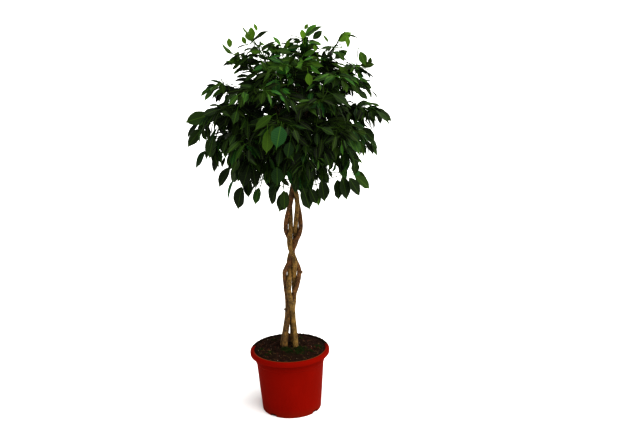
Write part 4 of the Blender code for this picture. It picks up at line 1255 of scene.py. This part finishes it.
def lumps(count, draw, scale, flat, smooth=1, place=on_soil):
    """Small rough stones or chips, scattered over the soil: each a distorted ball, sunk a little."""
    ball = bmesh.new()
    bmesh.ops.create_icosphere(ball, subdivisions=smooth, radius=1)
    corners = [v.co.copy() for v in ball.verts]
    faces = [tuple(v.index for v in f.verts) for f in ball.faces]
    ball.free()
    made = Gathered()
    for _ in range(count):
        spot = place(draw)
        size = draw.uniform(*scale)
        shape = Matrix.Diagonal((size, size * draw.uniform(*LUMP_WIDTHS), size * draw.uniform(*flat)))
        turn = Matrix.Rotation(draw.uniform(0, 2 * math.pi), 3, "Z")
        turn = turn @ Matrix.Rotation(draw.uniform(-LUMP_TILT, LUMP_TILT), 3, "X")
        spot.z += size * LUMP_LIFT
        seed = Vector((draw.uniform(0, NOISE_REACH), 0, 0))
        made.add([spot + turn @ shape @ (c * (1 + LUMP_RELIEF * noise.noise(c * LUMP_KNOBS + seed)))
                  for c in corners], faces)
    return made


def scattered(draw):
    """A random place on the soil, clear of the pot's wall."""
    reach, turn = (soil_edge() - LUMPS_CLEAR) * math.sqrt(draw.random()), draw.uniform(0, 2 * math.pi)
    return reach * math.cos(turn), reach * math.sin(turn)


def fibres(count, draw):
    """Thin bent fibres that lie on the soil."""
    made = Gathered()
    for _ in range(count):
        x, y = scattered(draw)
        turn, length = draw.uniform(0, 2 * math.pi), draw.uniform(*FIBRE_LENGTHS)
        bend = draw.uniform(-FIBRE_BEND, FIBRE_BEND)
        points = []
        for share in (-0.5, -0.25, 0.0, 0.25, 0.5):
            way = turn + bend * share * 2
            u, v = x + math.cos(way) * length * share, y + math.sin(way) * length * share
            if math.hypot(u, v) < soil_edge() - FIBRES_CLEAR:
                points.append(Vector((u, v, soil_top(u, v) + FIBRE_LIFT)))
        if len(points) > 2:
            made.add(*sweep(points, [draw.uniform(*FIBRE_RADII)] * len(points), 4))
    return made


def tufts(count, draw):
    """Tufts of moss leaflets, most of them where the soil is mossiest."""
    made = Gathered()
    while len(made.points) < count * TUFT_LEAFLETS * TUFT_SIDES * 2:
        x, y = scattered(draw)
        if moss_at(x, y) < draw.uniform(*TUFT_CHANCE):
            continue
        foot = Vector((x, y, soil_top(x, y) - TUFT_SUNK))
        for _ in range(TUFT_LEAFLETS):
            lean = Vector((draw.uniform(-1, 1), draw.uniform(-1, 1), TUFT_UPRIGHT)).normalized()
            height = draw.uniform(*TUFT_HEIGHTS)
            made.add(*sweep([foot, foot + lean * height], TUFT_RADII, TUFT_SIDES))
    return made


class FIG_OT_soil(bpy.types.Operator):
    """Makes the moist potting mix with bark chips, wood fibres, perlite and moss on it"""
    bl_idname = "fig.make_soil"
    bl_label = "Soil"

    def execute(self, context):
        settings = context.scene.fig_soil
        shoulder, rim_foot = shoulder_height(), POT_HEIGHT - RIM_DEPTH
        edge, foot = soil_edge(), FLOOR + GAP
        rings = round(edge / SOIL_GRID)
        top = [(edge * i / rings, SOIL_EDGE) for i in range(rings + 1)]
        sides = ((soil_collar(), rim_foot), (SHOULDER_RADIUS - WALL - 2 * GAP, shoulder),
                 (wall_radius(foot) - WALL - 2 * GAP, foot), (0, foot))
        mesh = turned("soil", (*top, *sides), SOIL_SECTORS)
        moss = []
        for vert in mesh.vertices:
            x, y, z = vert.co
            if z > rim_foot + GAP:
                vert.co.z = soil_top(x, y)
            moss.append(moss_at(x, y))
        held = mesh.attributes.new("moss", "FLOAT", "POINT")
        held.data.foreach_set("value", moss)
        show("potting_mix", mesh, [soil_finish(settings)], ["potting_soil"])

        draw = random.Random(SEED + 1)
        crumbs = lumps(settings.crumbs, draw, CRUMB_SIZES, CRUMB_FLATNESS)
        spilt = lumps(SPILT, draw, SPILT_SIZES, CRUMB_FLATNESS, place=on_lip)
        crumbs.add(spilt.points, spilt.faces)
        chips = lumps(settings.chips, draw, CHIP_SIZES, CHIP_FLATNESS)
        grains = lumps(settings.grains, draw, GRAIN_SIZES, GRAIN_FLATNESS, smooth=2)
        for name, made, sharp, *look in (
                ("peat_crumbs", crumbs, SHARP_ANGLE, "moist_peat", "#0E0A06", "#3A2818", 0.95, 260),
                ("bark_chips", chips, CHIP_SHARP, "composted_pine_bark", "#170D08", "#4A2717", 0.85, 190),
                ("perlite_grains", grains, SHARP_ANGLE, "expanded_perlite", "#625B4E", "#928B7B", 0.9, 500),
                ("wood_fibres", fibres(settings.fibres, draw), SHARP_ANGLE,
                 "coconut_fibre", "#3B2C19", "#80693F", 0.8, 240),
                ("moss_tufts", tufts(settings.tufts, draw), SHARP_ANGLE,
                 "cushion_moss", "#0F1A05", "#2A4110", 0.9, 300)):
            show(name, made.mesh(name), [litter_finish(*look)], sharp=sharp)
        return {"FINISHED"}


def bark_relief(depth, seed):
    """Raises the bark in ridges along the stem, with a ring where each old leaf was."""
    def raised(x, y, along):
        ridge = noise.noise(Vector((x * RIDGES, y * RIDGES, along / RIDGE_LENGTH + seed)))
        fine = noise.noise(Vector((x * WRINKLES, y * WRINKLES, along / WRINKLE_LENGTH - seed)))
        ring = abs((along / LEAF_SCAR_SPACING + LEAF_SCAR_SLANT * x) % 1 - 0.5) * LEAF_SCAR_SPACING
        scar = math.exp(-(ring / LEAF_SCAR_WIDTH) ** 2)
        return depth * (ridge + WRINKLE_HEIGHT * fine + LEAF_SCAR_HEIGHT * scar)
    return raised


def pressed(z, aside, radius):
    """How much a stem has thickened on the side of its neighbour."""
    closed = np.interp(z / MM, *zip(*PRESSED)) * np.interp(aside, PRESSED_ASIDE, (1, 0))
    return float(closed * min(max(0.0, (aside - radius) / 2), PRESSED_MOST))


class FIG_OT_trunk(bpy.types.Operator):
    """Makes the four plaited stems with their bark, cut stubs and bare branches"""
    bl_idname = "fig.make_trunk"
    bl_label = "Trunk"

    def execute(self, context):
        settings = context.scene.fig_trunk
        tan = bark_finish("sunned_fig_bark", settings.tan)
        brown = bark_finish("shaded_fig_bark", settings.brown)
        first = STEM_RINGS[0] * MM
        heights = [first + BARK_RING * i for i in range(round((BARK_TOP - first) / BARK_RING) + 1)]
        for number, name in enumerate(LOWER_COURSE):
            course = smooth_rise(stem_keys(name), heights)
            radii = []
            for point in course:
                flare = FOOT_FLARE * math.exp(-abs(point.z - SOIL_CROWN) / FOOT_FLARE_HEIGHT)
                radius = stem_radius(point.z) * ROUND_SHARE * (1 + flare)
                aside = point.x - trunk_axis(point.z).x
                grown = pressed(point.z, abs(aside), radius)
                point.x -= math.copysign(grown, aside)
                radii.append(radius + grown)
            stem = Gathered()
            stem.add(*sweep(course, radii, BARK_SIDES, bark_relief(settings.relief, number * 7)))
            for shoot in plant():
                if shoot.stem == name:
                    way = [*arc(*shoot.fork, BRANCH_STEPS), shoot.twig[0]]
                    sizes = eased(BRANCH_RADII, BRANCH_STEPS + 1)
                    sizes[1] *= BRANCH_FOOT
                    relief = bark_relief(settings.relief * BRANCH_RELIEF, shoot.number)
                    stem.add(*sweep(way, sizes, BRANCH_SIDES, relief))
            for owner, height, angle in KNOTS:
                if owner == name:
                    root = min(course, key=lambda p: abs(p.z - height * MM))
                    turn = math.radians(angle)
                    way = Vector((math.sin(turn), -math.cos(turn), KNOT_RISE)).normalized()
                    steps = [root + way * KNOT_LENGTH * share for share, _ in KNOT_SHAPE]
                    swell = [KNOT_RADIUS * size for _, size in KNOT_SHAPE]
                    stem.add(*sweep(steps, swell, KNOT_SIDES, bark_relief(settings.relief * KNOT_RELIEF, height)))
            show("plaited_stem_" + name, stem.mesh("stem"), [tan if name in SUNNED_STEMS else brown],
                 ["stem_" + name])
        return {"FINISHED"}


def blade(leaf, draw, outline, breadth):
    """Points, faces, slots and places of the finer blade: folded at the rib, waved, with a drooping drip tip."""
    fold, wave = BLADE_FOLD * draw.uniform(*FOLD_PLAY), BLADE_WAVE * draw.uniform(*WAVE_PLAY)
    phase = draw.uniform(0, 2 * math.pi)
    side = leaf.normal.cross(leaf.along)
    points, places = [], []
    for share, half in outline:
        width = half * leaf.length * breadth * (1 + MARGIN_WAVE * math.sin(phase + MARGIN_TURNS * share))
        droop = max(0.0, share - TIP_FROM) / (1 - TIP_FROM)
        middle = leaf.on_rib(share) - leaf.normal * TIP_DROOP * leaf.length * droop * droop
        up = (leaf.normal + leaf.along * 2 * LEAF_ARCH * share).normalized()

        def spot(u, level):
            ripple = wave * u * u * math.sin(phase + WAVE_TURNS * share + (MARGINS_APART if u > 0 else 0))
            thick = BLADE_THICKNESS * (1 - EDGE_THINNER * abs(u))
            lift = width * (fold * (abs(u) - FOLD_LEVEL) + ripple) + level * thick / 2
            return middle + side * u * width + up * lift

        top = [spot(u, 1) for u in BLADE_ACROSS]
        below = [spot(u, -1) for u in reversed(BLADE_ACROSS[1:-1])]
        points += top + below
        places += [(u * width, share * leaf.length, width) for u in (*BLADE_ACROSS, *reversed(BLADE_ACROSS[1:-1]))]
    ring = 2 * len(BLADE_ACROSS) - 2
    faces, slots = [tuple(range(ring)), tuple(reversed(range(len(points) - ring, len(points))))], [UPPER, UPPER]
    for k in range(0, len(points) - ring, ring):
        for i in range(ring):
            after = (i + 1) % ring
            faces.append((k + i, k + ring + i, k + ring + after, k + after))
            slots.append(UPPER if i < len(BLADE_ACROSS) - 1 else UNDER)
    return points, faces, slots, places


def leaf_with_stalk(made, leaf, youth, draw, tone=None, outline=BLADE_OUTLINE, breadth=1.0, steps=4):
    """Adds a leaf's blade and its bent stalk to the gathered piece. A youth below 0 is an old leaf's bluer green."""
    cool, youth = max(0.0, -youth), max(0.0, youth)
    if tone is None:
        cool = draw.random() ** COOL_BIAS
        youth += draw.random()**4 * YOUTH_PLAY
        # Painted shade and light: leaves deep in the head and low in it are painted darker, those at its top lighter
        place = head_direction(leaf.on_rib(0.5))
        light = np.interp(place.length, (SHADE_FROM, 1), (1 - SHADE_DEPTH, 1)) * np.interp(place.z, *TOP_LIGHT)
        tone = float(draw.random() ** TONE_BIAS * light)
    made.add(*blade(leaf, draw, outline, breadth), kind=(tone, youth, cool))
    bend = leaf.root + leaf.heading * PETIOLE * STALK_BEND
    stalk = arc(leaf.root, bend, leaf.neck + leaf.along * STALK_UNDER * MM, steps)
    radii = eased((STALK_RADIUS, STALK_RADIUS * STALK_TAPER), steps)
    made.add(*sweep(stalk, radii, steps + 1), TWIG, kind=(tone, youth, 1))


def youth_of(point, share):
    """How young a leaf is: the newest leaves are at the tips of the shoots, at the top of the head."""
    height = head_direction(point).z
    return max(0.0, min(1.0, (height - YOUNG_ABOVE) * YOUNG_RISE)) * max(0.0, share - YOUNG_BEYOND) * YOUNG_MOST


class FIG_OT_foliage(bpy.types.Operator):
    """Makes the leafy shoots of the head, each a twig with its side sprigs, leaves and buds"""
    bl_idname = "fig.make_foliage"
    bl_label = "Foliage"

    def execute(self, context):
        settings = context.scene.fig_foliage
        upper = settings.shaded, settings.leaf, settings.cool
        under = settings.shaded, settings.under, settings.under
        finishes = [leaf_finish("waxy_fig_leaf", upper, settings.young, settings.gloss, rib_light=0.55),
                    leaf_finish("fig_leaf_underside", under, settings.young, roughness=0.6, rib_light=0.5),
                    twig_finish(settings.leaf)]
        for shoot in plant():
            draw = random.Random(SEED * 9000 + shoot.number)
            made = Gathered()
            spring = shoot.crown > YOUNG_SHOOT
            made.add(*sweep(shoot.course, eased(TWIG_RADII, TWIG_STEPS), TWIG_SIDES), TWIG, kind=(0, 0, TWIG_GREEN))
            for i, leaf in enumerate(shoot.leaves):
                age = youth_of(leaf.root, (i + 1) / len(shoot.leaves)) * draw.uniform(*AGE_PLAY)
                age += SHOOT_YOUTH if spring else 0
                leaf_with_stalk(made, leaf, age, draw, breadth=draw.uniform(*BREADTHS))
            for sprig, leaves in shoot.sprigs:
                radii = eased(SPRIG_RADII, SPRIG_SEGMENTS)
                made.add(*sweep(sprig.twig, radii, SPRIG_SIDES), TWIG, kind=(0, 0, SPRIG_GREEN))
                for i, leaf in enumerate(leaves):
                    age = youth_of(leaf.root, (i + 1) / len(leaves)) * draw.uniform(*SPRIG_AGE_PLAY)
                    leaf_with_stalk(made, leaf, age, draw, None, SMALL_OUTLINE, draw.uniform(*SMALL_BREADTHS), 3)
            for twig, leaf, light, young in shoot.shown:
                radii = eased(SHOWN_TWIG, SPRIG_SEGMENTS)
                made.add(*sweep(twig, radii, SPRIG_SIDES), TWIG, kind=(0, 0, SPRIG_GREEN))
                breadth = SHOWN_BREADTH * (1 + OLD_BROADER * max(0.0, -young))
                # Its tone is the painted light given for it in the table
                leaf_with_stalk(made, leaf, young, draw, light, breadth=breadth)
            tip, ahead = shoot.at(1.0)
            bud = tip - ahead * MM, tip + ahead * BUD_LENGTH * BUD_WIDEST, tip + ahead * BUD_LENGTH
            made.add(*sweep(bud, BUD_RADII, SPRIG_SIDES), TWIG, kind=(0, 0, 1))
            show(f"leafy_shoot_{shoot.number:02d}", made.mesh("shoot"), finishes,
                 [f"leaf_spray_{shoot.number:02d}"])
        return {"FINISHED"}


class FIG_OT_stage(bpy.types.Operator):
    """Makes the pale floor, the soft lights and the camera that sees what the photograph shows"""
    bl_idname = "fig.make_stage"
    bl_label = "Stage"

    def execute(self, context):
        scene = context.scene
        settings = scene.fig_stage
        shape = bmesh.new()
        bmesh.ops.create_grid(shape, x_segments=1, y_segments=1, size=FLOOR_REACH)
        rim = bmesh.ops.extrude_edge_only(shape, edges=[e for e in shape.edges if e.is_boundary])["geom"]
        raised = [v for v in rim if isinstance(v, bmesh.types.BMVert)]
        bmesh.ops.scale(shape, verts=raised, vec=(FLOOR_SPREAD, FLOOR_SPREAD, 1))
        bmesh.ops.translate(shape, verts=raised, vec=UP * FLOOR_RIM)
        mesh = bpy.data.meshes.new("floor")
        shape.to_mesh(mesh)
        shape.free()
        mesh.materials.append(floor_finish(settings.floor))
        floor = bpy.data.objects.new("studio_floor", mesh)
        scene.collection.objects.link(floor)

        world = bpy.data.worlds.new("studio")
        world.use_nodes = True
        scene.world = world
        sky = world.node_tree.nodes["Background"]
        sky.inputs["Color"].default_value = (1, 1, 1, 1)
        sky.inputs["Strength"].default_value = settings.surround
        light = bpy.data.lights.new("key", "SUN")
        light.energy, light.angle = settings.key, KEY_WIDTH
        lamp = bpy.data.objects.new("key", light)
        lamp.rotation_euler = KEY_FROM.to_track_quat("Z", "Y").to_euler()
        scene.collection.objects.link(lamp)

        lens = bpy.data.cameras.new("photograph")
        lens.lens, lens.sensor_width = LENS, SENSOR_WIDTH
        camera = bpy.data.objects.new("photograph", lens)
        scene.collection.objects.link(camera)
        ahead = Vector((0, math.cos(CAMERA_PITCH), -math.sin(CAMERA_PITCH)))
        above = Vector((0, math.sin(CAMERA_PITCH), math.cos(CAMERA_PITCH)))
        right = Vector((1, 0, 0)) * math.cos(CAMERA_ROLL) + above * math.sin(CAMERA_ROLL)
        pose = Matrix((right, -ahead.cross(right), -ahead)).transposed().to_4x4()
        pose.translation = CAMERA_PLACE
        camera.matrix_world = pose
        scene.camera = camera
        scene.view_settings.view_transform = "Standard"
        scene.view_settings.look = "High Contrast"
        return {"FINISHED"}


class FIG_PT_panel(bpy.types.Panel):
    bl_label = "Potted weeping fig"
    bl_idname = "FIG_PT_panel"
    bl_space_type = "VIEW_3D"
    bl_region_type = "UI"
    bl_category = "Plant"

    def draw(self, context):
        for maker in MAKERS:
            self.layout.operator(maker.bl_idname)
        for name, settings in SETTINGS.items():
            box = self.layout.box()
            for field in settings.__annotations__:
                box.prop(getattr(context.scene, name), field)


MAKERS = (FIG_OT_pot, FIG_OT_soil, FIG_OT_trunk, FIG_OT_foliage, FIG_OT_stage)
SETTINGS = {"fig_pot": PotSettings, "fig_soil": SoilSettings, "fig_trunk": TrunkSettings,
            "fig_foliage": FoliageSettings, "fig_stage": StageSettings}


def register():
    for made in (*SETTINGS.values(), *MAKERS, FIG_PT_panel):
        bpy.utils.register_class(made)
    for name, settings in SETTINGS.items():
        setattr(bpy.types.Scene, name, PointerProperty(type=settings))


def unregister():
    for name in SETTINGS:
        delattr(bpy.types.Scene, name)
    for made in reversed((*SETTINGS.values(), *MAKERS, FIG_PT_panel)):
        bpy.utils.unregister_class(made)


def main():
    register()
    bpy.ops.fig.make_pot()
    bpy.ops.fig.make_soil()
    bpy.ops.fig.make_trunk()
    bpy.ops.fig.make_foliage()
    bpy.ops.fig.make_stage()


if __name__ == "__main__":
    main()
